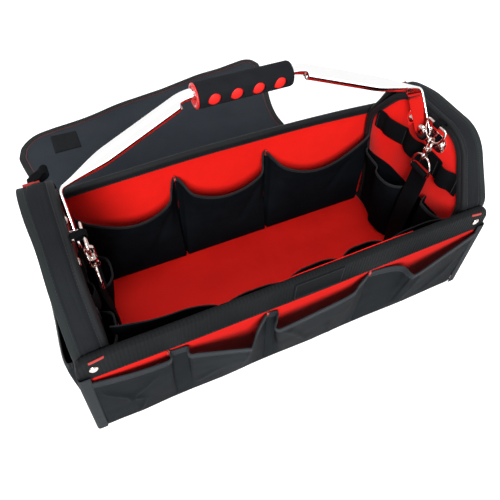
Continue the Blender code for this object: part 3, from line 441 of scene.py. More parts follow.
def clothLook(name, colour, worn, pitch, depth, rough, sheen=0.25, ribs=None, puckers=0.0, shine=0.10):
    # a woven cloth: two crossing sets of threads on the piece's own map, faded in soft patches
    look, tree, shader = newLook(name)
    where = node(tree, "ShaderNodeTexCoord", (-1500, 0)).outputs
    threadShade = 0.82

    def bands(place, direction, wavePitch, settings):
        # a wave's own scale counts 20 bands to the turn
        settings = {"Scale": math.tau / (20 * wavePitch), "Vector": where["UV"], **settings}
        return node(tree, "ShaderNodeTexWave", place, settings, wave_type="BANDS",
                    bands_direction=direction, wave_profile="SIN").outputs["Fac"]
    threads = {"Distortion": 0.35, "Detail": 1.0, "Detail Scale": 2.0}
    across = bands((-1100, 200), "X", pitch, threads)
    down = bands((-1100, -100), "Y", pitch, threads)
    weave = node(tree, "ShaderNodeMath", (-850, 100), {0: across, 1: down}, operation="MULTIPLY").outputs[0]
    normal = bumped(tree, (-300, -300), depth, pitch * 0.5, weave)
    if ribs:
        ribPitch, ribDepth, direction = ribs
        rib = bands((-1100, -400), direction, ribPitch, {"Distortion": 0.15, "Detail": 0.0})
        normal = bumped(tree, (-100, -450), ribDepth, ribPitch * 0.3, rib, normal)
    if puckers:
        creases = cloudy(tree, (-1100, -700), where["Object"], 34, 3, rough=0.45)
        normal = bumped(tree, (100, -600), puckers, 0.004, creases, normal)
    patches = cloudy(tree, (-1100, 500), where["Object"], 16, 5, rough=0.6)
    fade = remapped(tree, (-850, 500), patches, 0.0, 1.0, fromMin=0.3, fromMax=0.7)
    mix = blended(tree, (-500, 400), (*colour, 1), (*worn, 1), fade)
    shade = remapped(tree, (-600, 150), weave, threadShade, 1.0)
    darker = blended(tree, (-300, 300), mix, shade, 1.0, blend_type="MULTIPLY")
    gloss = remapped(tree, (-500, -100), patches, rough - 0.06, min(1.0, rough + 0.06))
    feed(tree, shader, {"Normal": normal, "Base Color": darker, "Roughness": gloss, "Sheen Weight": sheen,
                        "Sheen Roughness": 0.45, "Specular IOR Level": shine})
    return look


def metalLook(name, colour, rough, scuffs=0.08):
    look, tree, shader = newLook(name)
    where = node(tree, "ShaderNodeTexCoord", (-1300, 0)).outputs["Object"]
    scratches = cloudy(tree, (-1000, 0), where, 420, 4)
    cloud = cloudy(tree, (-1000, -300), where, 40, 3)
    wear = node(tree, "ShaderNodeMath", (-750, -100), {0: scratches, 1: cloud},
                operation="MULTIPLY").outputs[0]
    feed(tree, shader, {
        "Roughness": remapped(tree, (-500, 0), wear, rough, rough + scuffs),
        "Normal": bumped(tree, (-300, -300), 0.03, 0.0003, scratches),
        "Base Color": blended(tree, (-300, 300), (*colour, 1), (*[c * 0.94 for c in colour], 1), cloud),
        "Metallic": 1.0})
    return look


def mouldedLook(name, colour, rough, grain, depth, pores=False, shine=0.5):
    look, tree, shader = newLook(name)
    where = node(tree, "ShaderNodeTexCoord", (-1300, 0)).outputs["Object"]
    speck = node(tree, "ShaderNodeTexVoronoi" if pores else "ShaderNodeTexNoise", (-1000, 0),
                 {"Scale": grain, "Vector": where}).outputs["Distance" if pores else "Fac"]
    cloud = cloudy(tree, (-1000, 300), where, 60, 4)
    feed(tree, shader, {
        "Normal": bumped(tree, (-300, -300), depth, 0.0006, speck),
        "Base Color": blended(tree, (-300, 300), (*colour, 1), (*[c * 0.7 for c in colour], 1), cloud),
        "Roughness": remapped(tree, (-500, 0), cloud, rough - 0.08, rough + 0.1),
        "Specular IOR Level": shine})
    return look


def makeLooks():
    # name, colour, faded colour, thread pitch, weave depth, roughness, sheen and what else it has
    cloths = {
        "red": ("redFabric", (0.82, 0.011, 0.006), (0.74, 0.008, 0.005), 0.0008, 0.2, 0.62, 0.08,
                dict(puckers=0.30)),
        "black": ("blackFabric", (0.0075, 0.0090, 0.0105), (0.0115, 0.0135, 0.0155), 0.0008, 0.3, 0.75,
                  0.0, dict(puckers=0.45, shine=0.03)),
        # a darker, bluer copy of the black cloth for the pieces inside the bag: painted shade for the
        # interior, and a tint against the red light bounced there
        "inner": ("darkFabric", (0.0028, 0.0038, 0.0052), (0.0050, 0.0064, 0.0082), 0.0008, 0.3, 0.8,
                  0.0, dict(puckers=0.35, shine=0.01)),
        "webbing": ("rimWebbing", (0.0074, 0.0084, 0.0102), (0.0112, 0.0126, 0.0148), 0.0007, 0.3, 0.8,
                    0.02, dict(ribs=(0.0022, 0.12, "X"), shine=0.06)),
        "band": ("ribbedBand", (0.0060, 0.0066, 0.0074), (0.0092, 0.0100, 0.0110), 0.0007, 0.3, 0.7,
                 0.01, dict(ribs=(0.004, 0.45, "X"), shine=0.04)),
        "hem": ("greyHem", (0.015, 0.018, 0.021), (0.022, 0.026, 0.030), 0.0006, 0.35, 0.75, 0.03,
                dict(shine=0.06)),
        "edge": ("edgeTape", (0.011, 0.0125, 0.014), (0.017, 0.0195, 0.0215), 0.0007, 0.4, 0.75, 0.03,
                 dict(shine=0.06)),
        "rimEdge": ("rimEdge", (0.0100, 0.0125, 0.0135), (0.016, 0.020, 0.021), 0.0007, 0.4, 0.8, 0.06, {}),
        "roll": ("boundRoll", (0.0055, 0.0062, 0.0072), (0.0088, 0.0098, 0.0112), 0.0006, 0.3, 0.6,
                 0.02, dict(shine=0.10)),
        "corner": ("cornerTape", (0.012, 0.0145, 0.017), (0.018, 0.0215, 0.025), 0.0007, 0.4, 0.8,
                   0.03, {}),
        "elastic": ("elasticTape", (0.0034, 0.0037, 0.0044), (0.0056, 0.0060, 0.0069), 0.0006, 0.35,
                    0.8, 0.0, dict(ribs=(0.0014, 0.5, "Y"), shine=0.02)),
        "strap": ("strapWebbing", (0.0032, 0.0036, 0.0044), (0.0054, 0.0058, 0.0068), 0.0008, 0.5, 0.8,
                  0.0, dict(ribs=(0.0016, 0.5, "Y"), shine=0.02)),
        "base": ("baseFabric", (0.007, 0.0075, 0.0085), (0.011, 0.0115, 0.0125), 0.0010, 0.5, 0.8,
                 0.05, {}),
        "flap": ("slateCanvas", (0.019, 0.0245, 0.032), (0.026, 0.032, 0.040), 0.0009, 0.3, 0.8, 0.08,
                 dict(puckers=0.15, shine=0.06)),
        "binding": ("flapBinding", (0.0075, 0.008, 0.010), (0.012, 0.013, 0.015), 0.0007, 0.4, 0.7,
                    0.08, {}),
        "piping": ("wornPiping", (0.055, 0.020, 0.020), (0.085, 0.032, 0.030), 0.0006, 0.3, 0.7, 0.1, {}),
        "tag": ("redRibbon", (0.34, 0.026, 0.022), (0.44, 0.060, 0.050), 0.0005, 0.5, 0.7, 0.05,
                dict(ribs=(0.0011, 0.5, "X"))),
        "hookTape": ("fuzzyTape", (0.0080, 0.0095, 0.0115), (0.0125, 0.0145, 0.017), 0.0016, 1.0, 0.95,
                     0.05, dict(shine=0.01)),
        "label": ("satinLabel", (0.0040, 0.0043, 0.0052), (0.0062, 0.0066, 0.0078), 0.0004, 0.2, 0.6,
                  0.0, dict(shine=0.05)),
        "thread": ("thread", (0.020, 0.021, 0.024), (0.032, 0.033, 0.037), 0.0004, 0.3, 0.6, 0.1, {}),
        "redThread": ("redThread", (0.62, 0.020, 0.012), (0.75, 0.035, 0.022), 0.0004, 0.4, 0.5, 0.2, {}),
    }
    looks = {key: clothLook(*row[:-1], **row[-1]) for key, row in cloths.items()}
    looks["chrome"] = metalLook("chrome", (1.0, 1.0, 0.995), 0.06)
    # the nickel's base colour is painted darker and pinkish: a painted reflection of the dark and red bag
    # around it, on top of the metal's own tone
    looks["nickel"] = metalLook("nickel", (0.62, 0.52, 0.48), 0.16, 0.12)
    looks["sleeve"] = mouldedLook("redSleeve", (0.62, 0.012, 0.012), 0.32, 700, 0.06)
    looks["foam"] = mouldedLook("blackFoam", (0.0085, 0.0095, 0.0115), 0.80, 1500, 0.5, pores=True,
                                shine=0.06)
    looks["pad"] = mouldedLook("redPad", (0.80, 0.018, 0.014), 0.50, 900, 0.10, shine=0.2)
    return looks


# the shell: base, floor, padded ends, walls and their bands

def archLine(inset):
    # the gabled end seen along x, from the front foot over the top to the back foot
    d, peak = bag["rimY"], bag["rimY"] - bag["shoulder"]
    corners = [(0, -d, bag["foot"]), (0, -d, bag["frontTop"]), (0, -peak, bag["archTop"]),
               (0, peak, bag["archTop"]), (0, d, bag["backTop"]), (0, d, bag["foot"])]
    line = roundedLine(corners, (0.030, 0.045, 0.045, 0.030), 14)
    path = measured(line)
    if not inset:
        return path
    moved = []
    for i, p in enumerate(line):
        a, b = line[max(i - 1, 0)], line[min(i + 1, len(line) - 1)]
        way = (b - a).normalized()
        out = Vector((0, -way.z, way.y))
        moved.append(p - out * inset)
    return measured(moved)


def archSpan(path, z):
    # the front and back edges of the arch at a height
    ys = []
    for a, b in zip(path["line"], path["line"][1:]):
        low, high = min(a.z, b.z), max(a.z, b.z)
        if low - 1e-7 <= z <= high + 1e-7:
            share = 0.5 if high - low < 1e-7 else (z - a.z) / (b.z - a.z)
            ys.append(lerp(a.y, b.y, min(max(share, 0), 1)))
            if high - low < 1e-7:
                ys += [a.y, b.y]
    return min(ys), max(ys)


def buildEndRim(label, side, looks):
    rim = {"columns": 170, "rows": 40, "thickness": 0.0024, "shoulder": 0.0045 if side < 0 else 0.0060,
           "lean": 0.0 if side < 0 else 0.0010}
    low, high = bag["bindingX"], bag["halfLength"]
    section = [  # share across, x, rise of the surface over the arch
        (0.00, low, -0.0050), (0.04, low + 0.0002, -0.0026), (0.09, low + 0.0016, -0.0006),
        (0.15, low + 0.0040, 0.0001), (0.20, low + 0.0064, -0.0004), (0.235, low + 0.0076, -0.0017),
        (0.27, low + 0.0088, -0.0003), (0.32, low + 0.0110, 0.0004), (0.50, low + 0.0165, 0.0008),
        (0.66, low + 0.0225, 0.0004), (0.71, low + 0.0246, -0.0003), (0.745, low + 0.0258, -0.0018),
        (0.78, low + 0.0270, -0.0004), (0.84, low + 0.0298, 0.0002), (0.92, high - 0.0006, 0.0002),
        (0.96, high + 0.0002, -0.0012), (1.00, high, -0.0050)]
    path = archLine(0)

    def placeAt(u, v):
        spot, way = onLine(path, u)
        out = Vector((0, -way.z, way.y))
        x, rise = alongKnots(section, v)
        soft = 0.0005 * rumple(spot.y, spot.z, side * v, 0.035, 4.0 + side)
        soft += rim["shoulder"] * math.exp(-((spot.y - 0.058) / 0.016) ** 2) * ease((spot.z - 0.15) / 0.04)
        p = spot + out * (rise + soft - rim["lean"] * v)
        return Vector((side * (x + spread(spot.z) + endLean(side, spot.y, spot.z, v)), p.y, p.z))
    bm, flat = formedGrid(rim["columns"], rim["rows"], placeAt)[:2]
    facing(bm, Vector((0, 0, 1)))
    layer = bm.loops.layers.uv["UVMap"]
    width = flat[1]
    for face in bm.faces:
        v = sum(loop[layer].uv.y for loop in face.loops) / len(face.loops) / width
        if v < 0.235:
            face.material_index = 1
        elif v > 0.745:
            face.material_index = 2
    name = "endRim" + label
    piece = addObject(name, bm, [looks["webbing"], looks["roll"], looks["rimEdge"]], "bag",
                      ["end_rim_" + label])
    thicken(piece, rim["thickness"], -1.0, 1)
    for part, across, lift in (("inner", 0.20, 0.0003), ("outer", 0.79, 0.0003)):
        line = []
        for i in range(0, 241):
            spot, way = onLine(path, i / 240)
            p = placeAt(i / 240, across)
            line.append(p + Vector((0, -way.z, way.y)) * lift)
        stitchLine("rimStitch" + part.capitalize() + label, line, looks["thread"])


def stitchLine(name, line, look, pitch=0.0030, thread=0.00033, body="bag"):
    # a row of stitches, each a short thread bead that points along the line
    share, batchSize = 0.68, 40         # how much of the pitch is thread, and beads joined at a time
    path = measured([Vector(p) for p in line])
    count = max(2, int(path["total"] / pitch))
    bead = bmesh.new()
    bmesh.ops.create_uvsphere(bead, u_segments=6, v_segments=4, radius=thread)
    bmesh.ops.scale(bead, vec=(1, 1, pitch * share / 2 / thread), verts=bead.verts)
    carrier = bpy.data.meshes.new(name + "Bead")
    bead.to_mesh(carrier)
    bead.free()
    row = bmesh.new()
    for start in range(0, count, batchSize):
        batch = bmesh.new()
        for i in range(start, min(start + batchSize, count)):
            spot, way = onLine(path, (i + 0.5) / count)
            known = len(batch.verts)
            batch.from_mesh(carrier)
            batch.verts.ensure_lookup_table()
            turn = way.to_track_quat("Z", "Y").to_matrix().to_4x4()
            bmesh.ops.transform(batch, matrix=Matrix.Translation(spot) @ turn, verts=batch.verts[known:])
        part = bpy.data.meshes.new(name + "Batch")
        batch.to_mesh(part)
        batch.free()
        row.from_mesh(part)
        bpy.data.meshes.remove(part)
    bpy.data.meshes.remove(carrier)
    return addObject(name, row, look, body)


def endFace(name, side, faceX, inset, crown, thickness, look, nodes, outward, puckers, pad=None):
    # a sheet that fills the arch at faceX, crowned away from the padding
    path = archLine(inset)
    top = bag["archTop"] - inset - 0.0004
    low = bag["foot"] + 0.004
    spans = [archSpan(path, lerp(low, top, i / 120)) for i in range(121)]

    def placeAt(u, v):
        z = lerp(low, top, v)
        at = v * 120
        i = min(int(at), 119)
        front = lerp(spans[i][0], spans[i + 1][0], at - i)
        rear = lerp(spans[i][1], spans[i + 1][1], at - i)
        y = lerp(front, rear, u)
        edge = (1 - (2 * u - 1) ** 4) * (1 - (2 * v - 1) ** 4)
        swell = crown * edge + puckers * rumple(y, z, side, 0.045, 2.0 + side) * edge
        swell += puckers * 0.5 * rumple(y, z, side, 0.018, 9.0) * edge
        return endPoint(side, faceX + outward * swell, y, z, 1 if outward > 0 else 0)
    sewSheet(name, 60, 70, placeAt, thickness, look, (side * outward, 0, 0), nodes, pad=pad)


def buildEnds(looks):
    lining = {"x": bag["liningX"], "crown": 0.0024, "thickness": 0.0018}
    outer = {"x": bag["halfLength"] - 0.0030, "crown": 0.0036, "thickness": 0.0040}
    binding = {"width": 0.0100, "height": 0.0052}
    for label, side in sides:
        buildEndRim(label, side, looks)
        endFace("endLining" + label, side, lining["x"], 0.0036, lining["crown"], lining["thickness"],
                looks["red"], ["end_lining_" + label], -1, 0.0012)
        endFace("endOuter" + label, side, outer["x"], 0.0034, outer["crown"], outer["thickness"],
                looks["black"], ["end_panel_" + label], 1, 0.0012, pad=0.6)
        path = archLine(0.0034 + binding["width"] / 2)

        def placeAt(u, v):
            spot, way = onLine(path, u)
            out = Vector((0, -way.z, way.y))
            turn = (v - 0.5) * 2
            rise = binding["height"] * math.sqrt(max(0.0, 1 - abs(turn) ** 2.6))
            p = spot + out * (turn * binding["width"] / 2)
            x = bag["liningX"] + 0.0006 - rise - 0.0005 * rumple(spot.y, spot.z, v, 0.03, side)
            return Vector((side * (x + spread(spot.z) + endLean(side, p.y, p.z, 0)), p.y, p.z))
        sewSheet("endBinding" + label, 170, 14, placeAt, 0.0012, looks["roll"], (-side, 0, 0),
                 ["end_binding_" + label])
        line = [placeAt(i / 200, 0.12) - Vector((side * 0.0002, 0, 0)) for i in range(201)]
        stitchLine("bindingStitch" + label, line, looks["thread"])


def wallBow(x, z, side):
    # how far a long wall gives outwards; nothing at its corners
    along = 1 - (x / 0.222) ** 2
    if along <= 0:
        return 0.0
    height = bag["frontTop"] if side < 0 else bag["backTop"]
    up = ease(z / height)
    bow = (0.0016 if side < 0 else 0.0080) * along * up
    return bow + 0.0010 * along * up * rumple(x, side, z, 0.09, 6.0)


def wallHalfRun(z):
    return bag["halfLength"] - 0.0004 + spread(z)


def cornerPull(x, side, z):
    # the back wall's right end follows the leaning end
    return endLean(1, 0.095, z, 1) * ease((x - 0.15) / 0.08) if side > 0 else 0.0


def cornerDrop(x, z, radius):
    # how far the top edge falls near its rounded corners
    far = wallHalfRun(z) - abs(x)
    if far >= radius:
        return 0.0
    return radius - math.sqrt(max(0.0, radius ** 2 - (radius - max(far, 0.0)) ** 2))


def buildWall(name, side, height, look, node):
    wall = {"thickness": 0.0046, "corner": 0.018}
    low = bag["foot"] + 0.0003

    def placeAt(u, v):
        z = lerp(low, height - 0.0020, v)
        x = (2 * u - 1) * wallHalfRun(z)
        z -= cornerDrop(x, z, wall["corner"]) * ease((v - 0.85) / 0.15)
        x = (2 * u - 1) * (wallHalfRun(z) - 0.001)
        x += cornerPull(x, side, z)
        puff = 0.0007 * rumple(x, z, side, 0.06, 3.0) * ease(v * 4)
        y = bag["wallOut"] - 0.0001 + wallBow(x, z, side) + puff * 0.4
        return Vector((x, side * y, z))
    sewSheet(name, 110, 34, placeAt, wall["thickness"], look, (0, side, 0), [node], pad=0.5)


def buildBand(name, side, height, outerDrop, innerDrop, look, node, looks):
    band = {"thickness": 0.0014, "corner": 0.018, "columns": 180, "rows": 40}
    out, inside = bag["bandOut"] - 0.0001, bag["bandIn"] + 0.0001
    half = (out - inside) / 2
    run = outerDrop + innerDrop + half * math.pi

    def placeAt(u, v):
        s = v * run
        if s < outerDrop - half:
            y, z = out, height - outerDrop + s
        elif s < outerDrop - half + half * math.pi:
            a = (s - outerDrop + half) / half
            y, z = out - half + half * math.cos(a), height - half + half * math.sin(a)
        else:
            y, z = inside, height - half - (s - outerDrop + half - half * math.pi)
        x = (2 * u - 1) * wallHalfRun(z)
        fall = cornerDrop(x, z, band["corner"]) * ease((z - height + outerDrop) / outerDrop)
        z -= fall * 0.86
        x = (2 * u - 1) * (wallHalfRun(z) + 0.0002)
        shift = wallBow(x, z, side)
        x += cornerPull(x, side, z)
        return Vector((x, side * (y + shift), z + 0.0006 * rumple(x, v, side, 0.12, 5.0)))
    sewSheet(name, band["columns"], band["rows"], placeAt, band["thickness"], look,
             (0, side, 0.8), [node])
    for part, share in (("Low", 0.045), ("Inner", 0.965)):
        line = []
        for i in range(4, 197):
            p = placeAt(i / 200, share)
            line.append(p + Vector((0, side * (0.0003 if share < 0.5 else -0.0003), 0)))
        stitchLine(name + "Stitch" + part, line, looks["thread"], pitch=0.0032)


def buildLiningEdge(looks):
    # the red lining turned over the front wall shows as a thin edge beside the band
    edge = {"from": -0.030, "to": 0.135, "radius": 0.0006, "drop": 0.0030}
    line = []
    for i in range(81):
        x = lerp(edge["from"], edge["to"], i / 80)
        z = bag["frontTop"] - edge["drop"] - 0.0016 * (1 - ease(min(i, 80 - i) / 12))
        line.append((x, -(bag["bandIn"] + wallBow(x, z, -1) - 0.0006), z))
    bentRod("liningEdge", line, edge["radius"], looks["red"], "bag", around=8, steps=0)


def buildBase(looks):
    base = {"thickness": 0.0046, "corner": 0.008}
    half, depth = bag["halfLength"] + bag["flare"], 0.102

    def underside(u, v):
        x, y = (2 * u - 1) * (half - 0.0006), (2 * v - 1) * (depth - 0.0006)
        near = min(half - abs(x), depth - abs(y))
        z = bag["foot"] + 0.0002 - 0.0004 * (1 - ease(near / 0.006))
        return Vector((x, y, z))
    sewSheet("basePanel", 60, 30, underside, base["thickness"], looks["base"], (0, 0, 1),
             ["base_panel"], pad=0.3)
    board = {"thickness": 0.0034, "rise": 0.0010}
    run, wide = bag["bindingX"] - 0.0020, 0.0928

    def floorTop(u, v):
        x, y = (2 * u - 1), (2 * v - 1) * wide
        reach = run + spread(0.009)
        x *= reach
        near = min(reach - abs(x), wide - abs(y))
        swell = board["rise"] * rumple(x, y, 0, 0.11, 8.0) * ease(near / 0.03)
        z = bag["floorTop"] - 0.0003 + swell - 0.0016 * (1 - ease(near / 0.007))
        return Vector((x, y, z))
    sewSheet("floorCover", 90, 44, floorTop, board["thickness"], looks["red"], (0, 0, 1),
             ["floor_board"], pad=0.3)
    tape = {"width": 0.013, "thickness": 0.0012}
    outline = roundedLine([(0, -depth, 0), (half, -depth, 0), (half, depth, 0), (-half, depth, 0),
                           (-half, -depth, 0), (0, -depth, 0)], (0.006,) * 4, 6)
    path = measured(outline)

    def edgeTape(u, v):
        spot, way = onLine(path, u)
        out = Vector((way.y, -way.x, 0))
        angle = (v - 0.5) * math.pi
        lean = 0.5 * (1 + math.sin(angle))
        p = spot + out * (0.0008 * math.cos(angle) - 0.0012)
        return Vector((p.x, p.y, lerp(0.0004, tape["width"], lean)))
    sewSheet("baseTape", 220, 8, edgeTape, tape["thickness"], looks["base"], (0, 0, 0),
             ())


# pockets

def pocketSheet(name, mouth, foot, footZ, topZ, dip, look, nodes, looks, fold, creases, hem, columns, belly,
                hemLook="hem"):
    # mouth and foot are lines seen from above; the cloth runs from one to the other and the top edge dips
    upper = measured(smoothLine([(*p, 0) for p in mouth], 10))
    lower = measured([Vector((*p, 0)) for p in foot])

    def placeAt(u, v):
        a, wayA = onLine(upper, u)
        b = onLine(lower, u)[0]
        p = b.lerp(a, v ** belly)
        out = Vector((wayA.y, -wayA.x, 0))
        top = topZ - dip * math.sin(math.pi * min(max(u, 0), 1)) ** 1.3
        z = lerp(footZ, top, v)
        sag = fold * math.sin(math.pi * v) * (1 - (2 * u - 1) ** 2)
        wrinkle = 0.0
        for cu, cv, du, dv, wide, high in creases:
            # a crease runs from (cu, cv) by (du, dv)
            length = math.hypot(du, dv)
            along = ((u - cu) * du + (v - cv) * dv) / length
            off = ((u - cu) * dv - (v - cv) * du) / length
            fade = ease(along / 0.12) * ease((length - along) / 0.25)
            wrinkle += high * math.exp(-(off / wide) ** 2) * fade
        noisy = 0.0009 * rumple(p.x, p.y + z, z, 0.028, len(name)) * ease(v * 3) * ease((1 - v) * 6)
        p = p + out * (sag + wrinkle + noisy)
        return Vector((p.x, p.y, z))
    sewSheet(name, columns, 40, placeAt, 0.0011, look, (0, -1, 0), nodes, offset=0.0)

    length = max(topZ - footZ, 0.01)

    def outwardAt(u, w):
        # away from the wall, along the ground
        q = placeAt(min(u + 0.004, 1), w) - placeAt(max(u - 0.004, 0), w)
        return Vector((q.y, -q.x, 0)).normalized()

    # the tape lies outside up to the first share, turns over the edge, then lies inside
    outside, inside, half, bead = 0.46, 0.54, 0.0007, 0.0006

    def hemAt(u, v):
        if v < outside:
            w, push = 1 - (hem / length) * (1 - v / outside), half
        elif v < inside:
            w, push = 1.0, half - 2 * half * (v - outside) / (inside - outside)
        else:
            w, push = 1 - (hem / length) * (v - inside) / (1 - inside), -half
        lift = bead * math.exp(-((v - 0.5) / 0.05) ** 2)
        return placeAt(u, w) + outwardAt(u, w) * push + Vector((0, 0, lift))
    sewSheet(name + "Hem", columns, 22, hemAt, 0.0005, looks[hemLook], (0, -1, 0), (),
             offset=0.0)
    inset = 1 - (hem - 0.0014) / length
    line = [placeAt(i / 160, inset) + outwardAt(i / 160, inset) * 0.0012 for i in range(4, 157)]
    stitchLine(name + "StitchOut", line, looks["thread"])


def buildFrontPockets(looks):
    wall = -0.1021
    foot = -0.1036
    pockets = [
        {"name": "frontPocket1", "footX": (-0.2385, -0.1560),
         "mouth": [(-0.2385, wall), (-0.2326, -0.1036), (-0.2180, -0.1056), (-0.1950, -0.1085),
                   (-0.1650, -0.1112), (-0.1565, -0.1108), (-0.1540, -0.1060), (-0.1557, wall)],
         "top": 0.1170, "dip": 0.002,
         "creases": ((0.10, 0.80, 0.50, -0.50, 0.030, 0.0030), (0.30, 0.40, 0.45, 0.38, 0.030, 0.0026),
                     (0.42, 0.0, 0.16, 0.40, 0.026, 0.0030))},
        {"name": "frontPocket2", "footX": (-0.1560, -0.0463),
         "mouth": [(-0.1557, wall), (-0.1500, -0.1030), (-0.1410, -0.1033), (-0.1358, -0.1048),
                   (-0.1372, -0.1105), (-0.1345, -0.1140), (-0.1290, -0.1150), (-0.1033, -0.1228),
                   (-0.0815, -0.1302), (-0.0765, -0.1310), (-0.0640, -0.1165), (-0.0500, -0.1050),
                   (-0.0463, wall)],
         "top": 0.1168, "dip": 0.003,
         "creases": ((0.74, 0.0, -0.06, 0.95, 0.020, 0.0026), (0.20, 0.2, 0.30, 0.35, 0.05, 0.0016))},
        {"name": "frontPocket3", "footX": (-0.0463, 0.0808),
         "mouth": [(-0.0463, wall), (-0.0400, -0.1034), (-0.0350, -0.1052), (-0.0400, -0.1130),
                   (-0.0456, -0.1200), (-0.0430, -0.1240), (-0.0362, -0.1240), (0.0050, -0.1212),
                   (0.0487, -0.1180), (0.0640, -0.1110), (0.0780, -0.1045), (0.0808, wall)],
         "top": 0.1165, "dip": 0.003,
         "creases": ((0.26, 0.95, 0.22, -0.85, 0.03, 0.0028), (0.72, 0.0, -0.10, 0.60, 0.030, 0.0026))},
        {"name": "frontPocket4", "footX": (0.0808, 0.2385),
         "mouth": [(0.0808, wall), (0.0930, -0.1030), (0.1060, -0.1044), (0.1180, -0.1075),
                   (0.1247, -0.1120), (0.1268, -0.1225), (0.1330, -0.1245), (0.1700, -0.1172),
                   (0.2050, -0.1105), (0.2330, -0.1050), (0.2385, wall)],
         "top": 0.1170, "dip": 0.003,
         "creases": ((0.33, 0.95, -0.02, -0.85, 0.022, -0.0024), (0.42, 0.95, -0.05, -0.9, 0.028, 0.0030),
                     (0.60, 0.1, 0.30, 0.6, 0.04, 0.0022))},
    ]
    for pocket in pockets:
        x0, x1 = pocket["footX"]
        middle = (x0 + x1) / 2
        line = [(x0, foot + 0.0012), (x0 + 0.004, foot), (middle, foot - 0.0012), (x1 - 0.004, foot),
                (x1, foot + 0.0012)]
        pocketSheet(pocket["name"], pocket["mouth"], line, 0.0085, pocket["top"], pocket["dip"],
                    looks["black"], ["front_pocket_" + pocket["name"][-1]], looks, fold=0.0010,
                    creases=pocket["creases"], hem=0.009, columns=110,
                    belly=0.95)
    tacks = {"x": (-0.1557, -0.0463, 0.0811), "z": 0.1185}
    for i, x in enumerate(tacks["x"]):
        barTack("frontTack" + str(i + 1), (x, wall - 0.0018, tacks["z"]), looks["redThread"])


def buildCornerTapes(looks):
    # a folded tape down each corner of the shell covers the seam between wall and end
    tape = {"along": 0.0115, "round": 0.0030, "foot": 0.0055, "thickness": 0.0011}
    for label, side in sides:
        for part, way, top, depth in (("Front", -1, 0.1290, 0.1046), ("Back", 1, 0.1480, 0.1036)):

            def placeAt(u, v, side=side, way=way, top=top, depth=depth):
                z = lerp(tape["foot"], top, v)
                edge = wallHalfRun(z) + 0.0016
                corner = [(edge - tape["along"], depth, 0), (edge, depth, 0), (edge, 0.0880, 0)]
                spot = onLine(measured(roundedLine(corner, (tape["round"],), 6)), u)[0]
                leaning = endLean(side, way * 0.095, z, 1)
                return Vector((side * (spot.x + leaning), way * spot.y, z))
            name = "corner" + part + label
            sewSheet(name, 16, 40, placeAt, tape["thickness"], looks["corner"], (side, way, 0),
                     (), offset=0.0)
            line = [placeAt(0.07, k / 60) + Vector((0, way * 0.0008, 0)) for k in range(1, 60)]
            stitchLine(name + "Stitch", line, looks["thread"])


def barTack(name, place, look):
    # a dense bar of thread: a soft block with its corners rounded off
    size = (0.0026, 0.0022, 0.0080)
    bm = bmesh.new()
    bmesh.ops.create_cube(bm, size=1)
    bmesh.ops.scale(bm, vec=size, verts=bm.verts)
    bmesh.ops.subdivide_edges(bm, edges=bm.edges, cuts=2, use_grid_fill=True)
    bmesh.ops.bevel(bm, geom=bm.edges[:], offset=min(size) * 0.2, affect="EDGES", segments=1, profile=0.5,
                    material=-1)
    for v in bm.verts:
        squeeze = 1 - 0.35 * (abs(v.co.z) / (size[2] / 2)) ** 3
        v.co.x *= squeeze
        v.co.y *= 1 + 0.16 * math.sin(v.co.z * math.tau / 0.0011)
    bmesh.ops.translate(bm, vec=place, verts=bm.verts)
    bmesh.ops.recalc_face_normals(bm, faces=bm.faces)
    addObject(name, bm, look, "bag")


